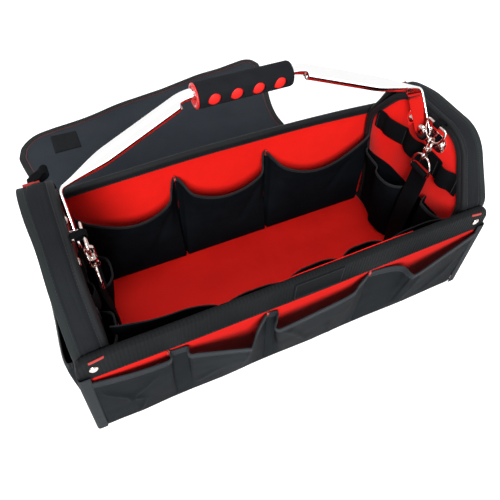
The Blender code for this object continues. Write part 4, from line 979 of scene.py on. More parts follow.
def buildInnerPockets(looks):
    wall = 0.0929
    back = [
        {"name": "backPocket1", "x": (-0.2055, -0.0763), "depth": 0.021, "top": 0.147,
         "dip": 0.032},
        {"name": "backPocket2", "x": (-0.0763, 0.0471), "depth": 0.020, "top": 0.147,
         "dip": 0.030},
        {"name": "backPocket3", "x": (0.0471, 0.2035), "depth": 0.019, "top": 0.145,
         "dip": 0.034},
    ]
    for pocket in back:
        x0, x1 = pocket["x"]
        deep = pocket["depth"]
        run = x1 - x0
        right = [(x1, wall), (x1 - 0.004, wall - 0.0025), (x1 - 0.008, wall - 0.008)]
        left = [(x0 + 0.008, wall - 0.008), (x0 + 0.004, wall - 0.0025), (x0, wall)]
        if x1 > 0.19:
            right = [(x1, wall - deep * 0.55), (x1 - 0.006, wall - deep * 0.66)]
        if x0 < -0.2:
            left = [(x0 + 0.006, wall - deep * 0.66), (x0, wall - deep * 0.55)]
        mouth = right + [(x1 - run * 0.15, wall - deep * 0.9), (x0 + run * 0.5, wall - deep),
                         (x0 + run * 0.15, wall - deep * 0.9)] + left
        foot = [(x1, wall - (0 if x1 < 0.19 else deep * 0.5)), (x1 - 0.002, wall - deep * 0.55),
                (x0 + 0.002, wall - deep * 0.55), (x0, wall - (0 if x0 > -0.2 else deep * 0.5))]
        mouth = [(x, y + wallBow(x, pocket["top"], 1) * ease((y - wall + deep) / deep)) for x, y in mouth]
        creases = ((0.2, 0.9, 0.2, -0.6, 0.05, 0.0022), (0.8, 0.85, -0.15, -0.6, 0.05, 0.0020))
        pocketSheet(pocket["name"], mouth, foot, 0.0115, pocket["top"], pocket["dip"], looks["inner"],
                    ["back_pocket_" + pocket["name"][-1]], looks, fold=0.002, creases=creases, hem=0.0042,
                    columns=90, belly=1.0, hemLook="edge")
    for i, (x, z) in enumerate(((-0.0763, 0.1450), (0.0471, 0.1445))):
        place = (x, wall - 0.0018 + wallBow(x, z, 1), z)
        barTack("backTack" + str(i + 1), place, looks["redThread"])
    # one long strip sewn down between its five cells; each cell bulges by its own depth
    strip = {"wall": -0.0929, "foot": 0.0115, "seamTop": 0.1390, "dip": 0.0030,
             "edges": (-0.2000, -0.0898, -0.0161, 0.0520, 0.1111, 0.2000),
             "depths": (0.0185, 0.0110, 0.0150, 0.0175, 0.0150)}
    edges, mouth = strip["edges"], []
    for x0, x1, deep in zip(edges, edges[1:], strip["depths"]):
        for share, out in ((0.0, 0.34), (0.10, 0.66), (0.30, 0.96), (0.5, 1.0), (0.72, 0.92), (0.90, 0.62)):
            mouth.append((x0 + (x1 - x0) * share, strip["wall"] + deep * out, 0))
    mouth.append((edges[-1], strip["wall"] + 0.004, 0))
    mouth[0] = (edges[0], strip["wall"] + 0.0270, 0)
    mouth[1] = (edges[0] + 0.011, strip["wall"] + 0.0240, 0)
    mouth[2] = (edges[0] + 0.033, strip["wall"] + 0.0205, 0)
    upper = measured(smoothLine(mouth, 8))

    def placeAt(u, v):
        a = onLine(upper, u)[0]
        cell = next((i for i in range(4) if a.x < edges[i + 1]), 4)
        share = min(max((a.x - edges[cell]) / (edges[cell + 1] - edges[cell]), 0), 1)
        p = Vector((a.x, lerp(strip["wall"] + 0.0015, a.y, 0.45 + 0.55 * v), 0))
        top = strip["seamTop"] - strip["dip"] * math.sin(math.pi * share) ** 1.2
        z = lerp(strip["foot"], top, v)
        soft = 0.0014 * rumple(p.x, p.y, z, 0.04, 7.0) * ease(v * 3)
        return Vector((p.x, p.y + soft, z))
    sewSheet("frontInnerPockets", 180, 34, placeAt, 0.0012, looks["inner"], (0, 1, 0),
             ["front_inner_pockets"], offset=0.0)
    line = [placeAt(i / 240, 1.0) for i in range(241)]
    bentRod("frontInnerEdge", line, 0.0009, looks["edge"], "bag", around=8, steps=0)


def foldedOver(placeAt, side, reach, crest):
    # a tape folded over a sheet's top edge: reach is its share of the height, crest its rise along v
    half, rise = 0.0008, 0.0005

    def tapeAt(u, v):
        off = abs(v - 0.5)
        push = half if v < 0.5 else -half
        return placeAt(u, 1 - reach * off * 2) + Vector((side * push * min(1, off * 8), 0, rise * crest(v)))
    return tapeAt


def buildEndPockets(label, side, looks):
    wall = bag["liningX"] - 0.0004
    backing = {"low": 0.0115, "high": 0.1160, "reach": 0.0918, "gap": 0.0032, "ripple": 0.0004}

    def backingAt(u, v):
        z = lerp(backing["low"], backing["high"], v)
        y = (2 * u - 1) * backing["reach"]
        x = bag["liningX"] - backing["gap"] + backing["ripple"] * rumple(u * 0.2, z, side, 0.03, 2.0)
        return endPoint(side, x, y, z, 0)
    sewSheet("endPocketBacking" + label, 50, 30, backingAt, 0.0009, looks["inner"],
             (-side, 0, 0), (), offset=0.0)
    # the mouth of each pocket seen from above: (y, distance from the lining)
    settings = [
        {"name": "endPocketBack", "top": 0.1203, "dip": 0.003, "waist": 0.70,
         "mouth": ((-0.0069, 0.003), (-0.0050, 0.0120), (0.0020, 0.0215), (0.0140, 0.0270),
                   (0.0340, 0.0262), (0.0430, 0.0175), (0.0600, 0.0110), (0.0740, 0.0070),
                   (0.0781, 0.002))},
        {"name": "endPocketFront", "top": 0.1300, "dip": 0.004, "waist": 1.30,
         "mouth": ((-0.0830, 0.002), (-0.0760, 0.0080), (-0.0640, 0.0120), (-0.0520, 0.0130),
                   (-0.0430, 0.0125), (-0.0395, 0.0060), (-0.0391, 0.002))},
    ]
    for pocket in settings:
        line = measured(smoothLine([(out, y, 0) for y, out in pocket["mouth"]], 8))

        def placeAt(u, v, line=line, pocket=pocket):
            spot = onLine(line, u)[0]
            top = pocket["top"] - pocket["dip"] * math.sin(math.pi * u) ** 1.2
            z = lerp(0.0115, top, v)
            out = max(spot.x, 0.0) * lerp(pocket["waist"], 1.0, v)
            soft = 0.0012 * rumple(spot.y, z, side, 0.03, 12.0) * ease(v * 3) * min(spot.x / 0.01, 1)
            return endPoint(side, wall - 0.0028 - out + soft, spot.y, z, 0)
        name = pocket["name"] + label
        sewSheet(name, 70, 34, placeAt, 0.0011, looks["inner"], (-side, 0, 0),
                 ["end_pocket_" + ("back_" if "Back" in name else "front_") + label], offset=0.0)

        tape = foldedOver(placeAt, side, 0.036, lambda v: 1 - abs(v - 0.5) * 2)
        sewSheet(name + "Edge", 70, 12, tape, 0.0005, looks["edge"], (-side, 0, 0), (),
                 offset=0.0)
    outer = {"y": 0.0821, "foot": 0.0113, "top": 0.129, "depth": 0.0075, "dip": 0.003,
             "gap": 0.0022}
    path = measured(smoothLine([(0, -outer["y"], 0), (0.80, -outer["y"] * 0.93, 0),
                                (1.0, -outer["y"] * 0.6, 0), (0.75, 0, 0), (0.45, outer["y"] * 0.6, 0),
                                (0.25, outer["y"] * 0.93, 0), (0, outer["y"], 0)], 8))

    def outerAt(u, v):
        spot = onLine(path, u)[0]
        top = outer["top"] - outer["dip"] * math.sin(math.pi * u)
        z = lerp(outer["foot"], top, v)
        swell = outer["depth"] * spot.x * lerp(0.15, 1.0, ease(v * 1.1))
        soft = 0.0010 * rumple(spot.y, z, side, 0.035, 15.0) * min(spot.x, 1) * ease(v * 3)
        return endPoint(side, bag["halfLength"] + outer["gap"] + swell + soft, spot.y, z, 1)
    sewSheet("outerPocket" + label, 70, 40, outerAt, 0.0012, looks["black"], (side, 0, 0),
             ["outer_pocket_" + label], offset=0.0)

    outerHem = foldedOver(outerAt, side, 0.09, lambda v: math.exp(-((v - 0.5) * 12) ** 2))
    sewSheet("outerPocketHem" + label, 70, 16, outerHem, 0.0005, looks["edge"],
             (side, 0, 0), (), offset=0.0)
    line = [outerAt(i / 120, 0.918) + Vector((side * 0.0013, 0, 0)) for i in range(4, 117)]
    stitchLine("outerPocketStitch" + label, line, looks["thread"])


# elastic tool loops, straps and small fabric pieces

def buildElastic(label, side, looks):
    elastic = {"low": 0.160, "high": 0.187, "bulge": 0.0062,
               "spans": ((-0.0612, -0.0375), (-0.0085, 0.0263), (0.0263, 0.0612))}
    knots = [(-0.0735, 0.0), (-0.0700, 0.0006)]
    for y0, y1 in elastic["spans"]:
        middle, quarter = (y0 + y1) / 2, (y1 - y0) * 0.26
        knots += [(y0, 0.0008), (middle - quarter, elastic["bulge"] * 0.78), (middle, elastic["bulge"]),
                  (middle + quarter, elastic["bulge"] * 0.78), (y1, 0.0008)]
    knots += [(0.0700, 0.0006), (0.0735, 0.0)]
    path = measured(smoothLine([(rise, y, 0) for y, rise in knots], 6))

    def placeAt(u, v):
        spot = onLine(path, u)[0]
        z = lerp(elastic["low"], elastic["high"], v)
        tilt = 0.0016 * rumple(spot.y, side, 0.2, 0.05, 3.0)
        bow = 0.0006 * math.cos((v - 0.5) * math.pi)
        place = endPoint(side, bag["liningX"] - 0.0030 - max(spot.x, 0.0) - bow, spot.y, z, 0)
        return place + Vector((0, 0, tilt))
    sewSheet("toolLoops" + label, 150, 14, placeAt, 0.0014, looks["elastic"], (-side, 0, 0),
             ["tool_loops_" + label])
    for i, y in enumerate((-0.0690, -0.0350, -0.0110, 0.0263, 0.0690)):
        x = bag["liningX"] - 0.0052 + endLean(side, y, 0.17, 0)
        line = [Vector((side * x, y, lerp(0.163, 0.184, k / 8))) for k in range(9)]
        stitchLine("loopTack" + str(i + 1) + label, line, looks["thread"], pitch=0.0018, thread=0.00045)


def buildStraps(label, side, looks):
    strap = {"y": -0.023, "width": 0.0268, "thickness": 0.0024, "x": 0.193, "loop": 0.0036,
             "tabWidth": 0.0075}
    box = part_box("hang_strap_" + label)
    strap["top"], strap["foot"] = box[1][2] - 0.0012, box[0][2] + 0.0004

    def placeAt(u, v):
        z = lerp(strap["foot"], strap["top"], v)
        y = strap["y"] + (u - 0.5) * strap["width"]
        crown = 0.0005 * math.cos((u - 0.5) * math.pi)
        bow = 0.0040 * math.sin(min(v * 1.15, 1) * math.pi)
        return Vector((side * (strap["x"] - crown + 0.0014 - bow), y, z))
    sewSheet("hangStrap" + label, 14, 70, placeAt, strap["thickness"], looks["strap"],
             (-side, 0, 0), ["hang_strap_" + label])
    # the strap's own loop round the lower ring's bar
    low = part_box("lower_ring_" + label)
    barZ = low[0][2] + 0.0017
    ringX, radius = side * strap["x"], strap["loop"]

    def loopAt(u, v):
        y = strap["y"] + (u - 0.5) * strap["width"] * 0.98
        angle = lerp(-0.42, 1.42, v) * math.pi
        return Vector((ringX + radius * math.cos(angle), y, barZ + radius * math.sin(angle)))
    sewSheet("hangLoop" + label, 14, 26, loopAt, 0.0015, looks["strap"], (0, 0, 1), ())
    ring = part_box("ring_loop_" + label)
    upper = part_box("upper_ring_" + label)
    barZ = upper[1][2] - 0.0017
    line = smoothLine([(side * 0.2050, 0, ring[0][2] + 0.0012), (side * 0.2032, 0, ring[0][2] + 0.009),
                       (side * 0.1990, 0, barZ + 0.0012), (side * 0.1930, 0, barZ + 0.0027),
                       (side * 0.1902, 0, barZ), (side * 0.1930, 0, barZ - 0.0027),
                       (side * 0.1990, 0, barZ - 0.0022), (side * 0.2020, 0, ring[0][2] + 0.0030)], 8)
    path = measured(line)

    def tabAt(u, v):
        spot = onLine(path, v)[0]
        return Vector((spot.x, strap["y"] + (u - 0.5) * strap["tabWidth"], spot.z))
    sewSheet("ringLoop" + label, 12, 64, tabAt, 0.0010, looks["strap"], (-side, 0, 0),
             ["ring_loop_" + label])


def buildLabel(looks):
    patch = {"x": 0.012, "z": 0.140, "width": 0.060, "height": 0.028, "corner": 0.003}

    def placeAt(u, v):
        x = patch["x"] + (u - 0.5) * patch["width"]
        z = patch["z"] + (v - 0.5) * patch["height"]
        edge = min(u, 1 - u) * patch["width"], min(v, 1 - v) * patch["height"]
        lift = 0.0005 * ease(min(edge) / 0.0016)
        return Vector((x, -(bag["bandOut"] + 0.0001 + wallBow(x, z, -1) + lift), z))
    sewSheet("labelPatch", 44, 24, placeAt, 0.0008, looks["label"], (0, -1, 0), ["label_patch"],
             offset=0.0)
    line = []
    w, h = patch["width"] / 2 - 0.0018, patch["height"] / 2 - 0.0018
    for cx, cz, dx, dz in ((-w, -h, 1, 0), (w, -h, 0, 1), (w, h, -1, 0), (-w, h, 0, -1)):
        for k in range(20):
            x = patch["x"] + cx + dx * 2 * w * k / 20
            z = patch["z"] + cz + dz * 2 * h * k / 20
            line.append(Vector((x, -(bag["bandOut"] + 0.0012 + wallBow(x, z, -1)), z)))
    line.append(line[0])
    stitchLine("labelStitch", line, looks["thread"], pitch=0.0022)


def ribbon(name, corners, thickness, look, towards):
    # a short flat ribbon over four corners: two at its foot, two at its top
    a, b, c, d = (Vector(p) for p in corners)

    def placeAt(u, v):
        p = a.lerp(b, u).lerp(d.lerp(c, u), v)
        return p + Vector(towards).normalized() * 0.0004 * math.sin(math.pi * u) * math.sin(math.pi * v)
    sewSheet(name, 12, 8, placeAt, thickness, look, towards,
             offset=0.0)


def buildTags(looks):
    y = -(bag["bandOut"] + 0.0006)
    ribbon("frontTagLeft", ((-0.2265, y, 0.1505), (-0.2115, y, 0.1535), (-0.2110, y + 0.0006, 0.1562),
                            (-0.2262, y + 0.0006, 0.1532)), 0.0012, looks["tag"], (0, -1, 0.4))
    ribbon("frontTagRight", ((0.2115, y, 0.1535), (0.2265, y, 0.1505), (0.2262, y + 0.0006, 0.1532),
                             (0.2110, y + 0.0006, 0.1562)), 0.0012, looks["tag"], (0, -1, 0.4))
    # a folded ribbon stands on each rim's back shoulder, and a webbing loop behind the left one
    stand = {"y": 0.0672, "z": 0.2192, "lean": (0.72, 0.69), "height": 0.0034, "thick": 0.0009}
    for label, side, x0, x1 in (("left", -1, 0.2335, 0.2170), ("right", 1, 0.2215, 0.2045)):

        def overRim(u, v, side=side, x0=x0, x1=x1):
            up = stand["height"] * math.sin(math.pi * v)
            through = 0.0013 * math.cos(math.pi * v)
            y = stand["y"] + stand["lean"][0] * up - stand["lean"][1] * through
            z = stand["z"] + stand["lean"][1] * up + stand["lean"][0] * through
            return Vector((side * lerp(x0, x1, u), y, z))
        sewSheet("rimTag" + label, 14, 16, overRim, stand["thick"], looks["tag"],
                 (0, -0.6, 1), (), offset=0.0)
    loop = {"width": 0.0120, "thickness": 0.0013, "front": 0.0690}
    path = measured(smoothLine([(-0.2290, 0, 0.2168), (-0.2220, 0, 0.2218), (-0.2157, 0, 0.2250),
                                (-0.2118, 0, 0.2292), (-0.2082, 0, 0.2296), (-0.2068, 0, 0.2258),
                                (-0.2092, 0, 0.2224), (-0.2140, 0, 0.2196), (-0.2200, 0, 0.2176),
                                (-0.2270, 0, 0.2150)], 8))

    def loopAt(u, v):
        spot = onLine(path, v)[0]
        return Vector((spot.x, loop["front"] + lerp(0, loop["width"], u), spot.z))
    sewSheet("rimLoop", 10, 60, loopAt, loop["thickness"], looks["strap"], (0, 0, 1), (),
             offset=0.0)


# cover flap

def buildFlap(looks):
    flap = {"hingeY": 0.1030, "z": 0.0024, "thickness": 0.0020, "leftCorner": 0.045, "rightCorner": 0.030}
    left = measured(smoothLine([(-0.2245, -0.0030, 0), (-0.2360, 0.110, 0), (-0.2500, 0.220, 0),
                                (-0.2630, 0.330, 0)], 12))
    right = measured(smoothLine([(0.2245, -0.0030, 0), (0.1970, 0.100, 0), (0.1865, 0.200, 0),
                                 (0.1890, 0.240, 0), (0.2030, 0.300, 0), (0.2190, 0.355, 0),
                                 (0.2300, 0.426, 0)], 12))

    def flatAt(u, v):
        a, b = onLine(left, v)[0], onLine(right, v)[0]
        p = a.lerp(b, u)
        width = (b - a).length
        for far, corner in ((u * width, flap["leftCorner"]), ((1 - u) * width, flap["rightCorner"])):
            if far < corner:
                drop = corner - math.sqrt(corner ** 2 - (corner - far) ** 2)
                p.y -= drop * ease((v - 0.55) / 0.45)
        return p

    def placeAt(u, v):
        p = flatAt(u, v)
        reach = ease((p.y - 0.02) / 0.10)
        wave = 0.0026 * (rumple(p.x, p.y, 0, 0.16, 21.0) + 0.55) * reach
        wave += 0.0012 * rumple(p.x, p.y, 0, 0.055, 5.0) * reach
        edge = ease((v - 0.9) / 0.1)
        wave += 0.0022 * edge * (1 + math.sin(u * 19.0)) * 0.5
        return Vector((p.x, flap["hingeY"] + p.y, flap["z"] + 0.0010 + max(wave, 0.0)))
    sewSheet("coverFlap", 110, 90, placeAt, flap["thickness"], looks["flap"], (0, 0, 1),
             ["cover_flap"], body="flap")
    around = [(0.0, lerp(0.036, 1, i / 60)) for i in range(61)] + [(i / 80, 1.0) for i in range(1, 81)]
    around += [(1.0, lerp(1, 0.036, i / 60)) for i in range(1, 61)]
    outline = [placeAt(*p) for p in around]
    path = measured(outline)
    tape = {"width": 0.0080, "lift": 0.0007, "turn": 0.004, "gap": 0.0014, "under": 0.0023}

    def bindAt(u, v):
        spot, way = onLine(path, u)
        flat = Vector((way.x, way.y, 0)).normalized()
        out = Vector((-flat.y, flat.x, 0))
        turn, gap = tape["turn"], tape["gap"]
        run = v * (tape["width"] * 2 + turn)
        if run < tape["width"]:
            return spot - out * (tape["width"] - run) + Vector((0, 0, tape["lift"]))
        if run < tape["width"] + turn:
            a = (run - tape["width"]) / turn * math.pi
            return spot + out * (gap * math.sin(a)) + Vector((0, 0, gap * math.cos(a) - gap / 2))
        return spot - out * (run - tape["width"] - turn) + Vector((0, 0, -tape["under"]))
    sewSheet("flapBinding", 300, 22, bindAt, 0.0009, looks["binding"], (0, 0, 1), (),
             body="flap", offset=0.0)

    def besideEdge(share, inward, lift):
        spot, way = onLine(path, share)
        out = Vector((-way.y, way.x, 0)).normalized()
        return spot - out * inward + Vector((0, 0, lift))
    piping = {"gap": 0.0016, "lift": 0.0004, "radius": 0.0010}
    cord = [besideEdge(i / 300, tape["width"] + piping["gap"], piping["lift"]) for i in range(301)]
    bentRod("flapPiping", cord, piping["radius"], looks["piping"], "flap", around=8, steps=0)
    seam = [besideEdge(i / 300, tape["width"] - 0.0014, 0.0014) for i in range(3, 298)]
    stitchLine("flapStitch", seam, looks["thread"], pitch=0.0032, body="flap")
    patch = {"x": -0.1845, "y": 0.300, "length": 0.044, "width": 0.046}

    def patchAt(u, v):
        x = patch["x"] + (u - 0.5) * patch["length"]
        y = patch["y"] + (v - 0.5) * patch["width"]
        a, b = onLine(left, y / 0.330)[0], onLine(right, y / 0.426)[0]
        share = (x - a.x) / (b.x - a.x)
        p = placeAt(share, y / lerp(0.330, 0.426, share))
        near = min(u, 1 - u, v, 1 - v)
        return Vector((x, flap["hingeY"] + y, p.z + 0.0004 + 0.0007 * ease(near / 0.05)))
    sewSheet("flapPatch", 26, 26, patchAt, 0.0010, looks["hookTape"], (0, 0, 1),
             ["fastener_patch"], body="flap", offset=0.0, soften=0)


# handle

def buildHandle(looks):
    handle = {"pivotZ": 0.206, "lean": 43, "tube": 0.0080, "tabThick": 0.0030, "tabWide": 0.026,
              "corners": ((0.0, 0.096), (0.064, 0.096), (0.1997, 0.045), (0.1997, 0.0)),
              "radii": (0.050, 0.007), "taper": 0.058, "rows": 190, "around": 28, "neck": 0.0705,
              "pinch": 0.42}
    line = roundedLine([(s, h, 0) for s, h in handle["corners"]], handle["radii"], 14)
    path = measured(line)
    corner = next(i for i, p in enumerate(line) if p.x > 0.1996)
    bendAt = path["marks"][corner] / path["total"]
    lean = math.radians(handle["lean"])
    upWay = Vector((0, math.sin(lean), math.cos(lean)))
    outWay = Vector((0, -math.cos(lean), math.sin(lean)))
    pivot = Vector((0, 0, handle["pivotZ"]))

    def bentTube(u, v):
        spot, way = onLine(path, v)
        # flat from the bend down, round above it
        along = v * path["total"]
        start = bendAt * path["total"] - handle["taper"]
        flatness = ease((along - start) / handle["taper"])
        wide = lerp(handle["tube"], handle["tabWide"] / 2, flatness)
        thick = lerp(handle["tube"], handle["tabThick"] / 2, flatness)
        angle = u * math.tau
        power = lerp(1.0, 0.45, flatness)
        c, s = math.cos(angle), math.sin(angle)
        c = math.copysign(abs(c) ** power, c)
        s = math.copysign(abs(s) ** power, s)
        normal = Vector((-way.y, way.x, 0))
        if c < 0:
            c *= lerp(handle["pinch"], 1, ease((along - handle["neck"]) / 0.0025))
        p = spot + normal * (thick * c)
        return pivot + Vector((p.x, 0, 0)) + upWay * p.y + outWay * (wide * s)
    bm = formedGrid(handle["around"], handle["rows"], bentTube, roundWay=True)[0]
    # the flat tab ends in a half round below the pivot
    far = [v for v in bm.verts if v.co.x > 0.1975 and (v.co - pivot).dot(upWay) < 0.0005]
    edges = list({e for v in far for e in v.link_edges if e.is_boundary})
    steps, radius = 8, handle["tabWide"] / 2
    last = 0.0
    for k in range(1, steps + 1):
        angle = k / steps * math.pi / 2 * 0.985
        drop = radius * math.sin(angle)
        made = bmesh.ops.extrude_edge_only(bm, edges=edges)
        ring = [g for g in made["geom"] if isinstance(g, bmesh.types.BMVert)]
        edges = [g for g in made["geom"] if isinstance(g, bmesh.types.BMEdge)]
        before = math.cos((k - 1) / steps * math.pi / 2 * 0.985)
        shrink = math.cos(angle) / before
        for v in ring:
            side = (v.co - pivot).dot(outWay)
            v.co += outWay * (side * shrink - side) - upWay * (drop - last)
        last = drop
    bmesh.ops.contextual_create(bm, geom=edges)
    whole = bmesh.ops.duplicate(bm, geom=bm.verts[:] + bm.edges[:] + bm.faces[:])
    copied = [g for g in whole["geom"] if isinstance(g, bmesh.types.BMVert)]
    bmesh.ops.scale(bm, vec=(-1, 1, 1), verts=copied)
    bmesh.ops.reverse_faces(bm, faces=[g for g in whole["geom"] if isinstance(g, bmesh.types.BMFace)])
    bmesh.ops.remove_doubles(bm, verts=bm.verts, dist=0.00005)
    bmesh.ops.recalc_face_normals(bm, faces=bm.faces)
    addObject("handleTube", bm, looks["chrome"], "handle", ["handle_tube"])
    for label, side in sides:
        # the pinched seam ends in a small bright knob
        spot = onLine(path, handle["neck"] / path["total"])[0]
        knob = bmesh.new()
        bmesh.ops.create_uvsphere(knob, u_segments=20, v_segments=12, radius=0.0026)
        place = pivot + Vector((side * spot.x, 0, 0)) + upWay * (spot.y - 0.0056)
        bmesh.ops.translate(knob, vec=place, verts=knob.verts)
        addObject("neckKnob" + label, knob, looks["nickel"], "handle")
    buildGrip(pivot, upWay, outWay, looks)


def buildGrip(pivot, upWay, outWay, looks):
    grip = {"height": 0.096, "length": 0.104, "radius": 0.0130, "bore": 0.0091, "window": 0.0074,
            "pitch": 0.024, "turn": 38}
    turn = math.radians(grip["turn"])
    centre = pivot + upWay * grip["height"]
    half = grip["length"] / 2
    profile = [(grip["bore"], -half), (grip["radius"] - 0.0022, -half),
               (grip["radius"] - 0.0007, -half + 0.0006), (grip["radius"], -half + 0.0024),
               (grip["radius"], -half * 0.33), (grip["radius"], half * 0.33),
               (grip["radius"], half - 0.0024), (grip["radius"] - 0.0007, half - 0.0006),
               (grip["radius"] - 0.0022, half), (grip["bore"], half)]
    turned = Matrix.Translation(centre) @ Matrix.Rotation(math.pi / 2, 4, "Y")
    foam = turnedPiece("gripFoam", profile, turned, looks["foam"], "handle", ["grip_foam"], 64,
                       closed=True)
    cutters = bmesh.new()
    way = outWay * math.sin(turn) - upWay * math.cos(turn)
    face = way.to_track_quat("Z", "X").to_matrix().to_4x4()
    for i in range(4):
        x = (i - 1.5) * grip["pitch"]
        made = bmesh.ops.create_cone(cutters, cap_ends=True, segments=32, radius1=grip["window"] * 0.92,
                                     radius2=grip["window"] * 1.06, depth=0.016)
        at = Matrix.Translation(centre + Vector((x, 0, 0)) + way * 0.0120) @ face
        bmesh.ops.transform(cutters, matrix=at, verts=made["verts"])
    tool = plainObject("windows", cutters)
    cut = foam.modifiers.new("windows", "BOOLEAN")
    cut.operation = "DIFFERENCE"
    cut.object = tool
    cut.solver = "EXACT"
    bpy.context.view_layer.update()
    made = bpy.data.meshes.new_from_object(foam.evaluated_get(bpy.context.evaluated_depsgraph_get()))
    foam.modifiers.clear()
    old = foam.data
    foam.data = made
    bpy.data.meshes.remove(old)
    bpy.data.objects.remove(tool, do_unlink=True)
    foam.data.polygons.foreach_set("use_smooth", [True] * len(foam.data.polygons))
    rounding = foam.modifiers.new("softEdges", "BEVEL")
    rounding.width = 0.0007
    rounding.segments = 2
    rounding.limit_method = "ANGLE"
    rounding.angle_limit = math.radians(40)
    rounding.use_clamp_overlap = True
    rounding.harden_normals = False
    for i in range(4):
        # the liner shows through each window as a low red pad
        pad = bmesh.new()
        bmesh.ops.create_uvsphere(pad, u_segments=32, v_segments=16, radius=1)
        bmesh.ops.scale(pad, vec=(grip["window"] * 0.97, grip["window"] * 0.97, 0.0030), verts=pad.verts)
        spot = centre + Vector(((i - 1.5) * grip["pitch"], 0, 0)) + way * 0.0092
        bmesh.ops.transform(pad, matrix=Matrix.Translation(spot) @ face, verts=pad.verts)
        addObject("windowPad" + str(i + 1), pad, looks["pad"], "handle")
    flange = half + 0.0004
    profile = [(0.0083, -flange - 0.0022), (0.0118, -flange - 0.0022), (0.0126, -flange - 0.0016),
               (0.0126, -flange - 0.0002), (0.0120, -flange + 0.0003), (0.0091, -flange + 0.0003),
               (0.0090, 0.0), (0.0090, half - 0.0012), (0.0083, half - 0.0012)]
    turnedPiece("gripSleeve", profile, turned, looks["sleeve"], "handle", ["grip_sleeve"],
                56, closed=True)


# rings, hooks, plates and rivets

def buildChain(label, side, looks):
    chain = {"y": -0.023, "x": side * 0.193, "wire": 0.0014, "half": 0.01525, "drop": 0.0215, "bar": 0.2305,
             "lower": 0.1643, "corner": 0.0022, "square": 0.85}

    def ringPoints(barZ, turn):
        # a half-round ring on a straight bar
        half, drop, corner, square = (chain[key] for key in ("half", "drop", "corner", "square"))
        ends = [Vector((chain["x"], chain["y"] + way * (half - corner), barZ)) for way in (-1, 1)]
        points = [ends[0].lerp(ends[1], k / 6) for k in range(7)]
        for k in range(0, 25):
            angle = math.pi * k / 24
            y = chain["y"] + half * math.copysign(abs(math.cos(angle)) ** square, math.cos(angle))
            fall = corner + (drop - corner) * math.sin(angle) ** square
            points.append(Vector((chain["x"], y, barZ + turn * fall)))
        return points
    for part, barZ, turn in (("upper", chain["bar"], -1), ("lower", chain["lower"], 1)):
        ring = part + "_ring_" + label
        bentRod(part + "Ring" + label, ringPoints(barZ, turn), chain["wire"], looks["nickel"], ring,
                [ring], closed=True, around=20, steps=3)


def domeRivet(name, place, way, radius, height, look, nodes):
    # a domed head with a small lip, and a short shank behind it
    lip = 0.0008
    profile = [(0, -0.0030), (radius * 0.42, -0.0030), (radius * 0.42, 0.0), (radius * 0.96, 0.0),
               (radius, 0.0003), (radius * 0.985, lip)]
    for k in range(1, 11):
        angle = k / 10 * math.pi / 2
        profile.append((radius * 0.97 * math.cos(angle), lip + (height - lip) * math.sin(angle)))
    profile[-1] = (0, height)
    turn = Vector(way).to_track_quat("Z", "Y").to_matrix().to_4x4()
    turnedPiece(name, profile, Matrix.Translation(place) @ turn, look, "bag", nodes, 36)


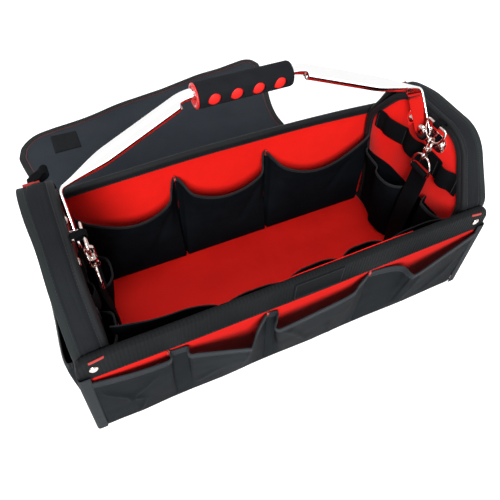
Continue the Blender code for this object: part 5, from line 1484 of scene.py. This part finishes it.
def buildPlates(label, side, looks):
    plate = {"x": 0.2062, "z": 0.201, "length": 0.070, "height": 0.022, "thick": 0.0020, "corner": 0.0104,
             "dome": 0.0046, "domeHeight": 0.0032}
    bm = bmesh.new()
    bmesh.ops.create_cube(bm, size=1)
    bmesh.ops.scale(bm, vec=(plate["thick"], plate["length"], plate["height"]), verts=bm.verts)
    upright = [e for e in bm.edges if abs((e.verts[0].co - e.verts[1].co).x) > plate["thick"] * 0.9]
    bmesh.ops.bevel(bm, geom=upright, offset=plate["corner"], affect="EDGES", segments=14, profile=0.5,
                    material=-1)
    rimEdges = [e for e in bm.edges if e.is_manifold and e.calc_face_angle(0) > 1.2]
    bmesh.ops.bevel(bm, geom=rimEdges, offset=0.0004, affect="EDGES", segments=2, profile=0.5, material=-1)
    bmesh.ops.translate(bm, vec=(side * (plate["x"] + plate["thick"] / 2), 0, plate["z"]), verts=bm.verts)
    addObject("handlePlate" + label, bm, looks["chrome"], "bag", ["handle_plate_" + label],
              smooth=False)
    for part, y in (("front", -0.027), ("back", 0.027)):
        domeRivet("plateRivet" + part.capitalize() + label, Vector((side * plate["x"], y, plate["z"])),
                  (-side, 0, 0), plate["dome"], plate["domeHeight"], looks["nickel"],
                  ["rivet_" + part + "_" + label])
    small = {"y": -0.0895, "z": 0.062}
    domeRivet("footStud" + label, Vector((side * (bag["halfLength"] + spread(small["z"]) - 0.001),
                                          small["y"],
              small["z"])), (side, 0, 0), 0.0030, 0.0018, looks["nickel"], ())


def finishHooks(looks):
    # hooks, gates, eyes and the small rivets keep the solids' shape, merged and smoothly shaded
    for name, item in list(frame["nodes"].items()):
        if not name.startswith(("hook_body", "hook_gate", "swivel_eye", "pivot_rivet", "corner_rivet")):
            continue
        bm = bmesh.new()
        bm.from_mesh(item.data)
        bmesh.ops.remove_doubles(bm, verts=bm.verts, dist=0.00001)
        bmesh.ops.dissolve_degenerate(bm, edges=bm.edges, dist=0.00001)
        words = name.split("_")
        ownName = words[0] + "".join(word.capitalize() for word in words[1:])
        piece = addObject(ownName, bm, looks["nickel"], item["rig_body"], [name])
        piece.data.set_sharp_from_angle(angle=math.radians(38))


# build everything

setCamera()
setStage()
looks = makeLooks()
print("camera, stage and materials ready")
buildBase(looks)
buildEnds(looks)
print("base and padded ends ready")
buildWall("frontPanel", -1, bag["frontTop"], looks["red"], "front_panel")
buildWall("backPanel", 1, bag["backTop"], looks["red"], "back_panel")
buildBand("frontBand", -1, bag["frontTop"], 0.038, 0.020, looks["band"], "front_band", looks)
buildBand("backBand", 1, bag["backTop"], 0.038, 0.0022, looks["roll"], "back_band", looks)
buildLiningEdge(looks)
print("walls and bands ready")
buildFrontPockets(looks)
buildCornerTapes(looks)
buildInnerPockets(looks)
for label, side in sides:
    buildEndPockets(label, side, looks)
print("pockets ready")
for label, side in sides:
    buildElastic(label, side, looks)
    buildStraps(label, side, looks)
    buildChain(label, side, looks)
    buildPlates(label, side, looks)
finishHooks(looks)
buildLabel(looks)
buildTags(looks)
print("straps, rings and plates ready")
buildFlap(looks)
buildHandle(looks)
print("flap and handle ready")
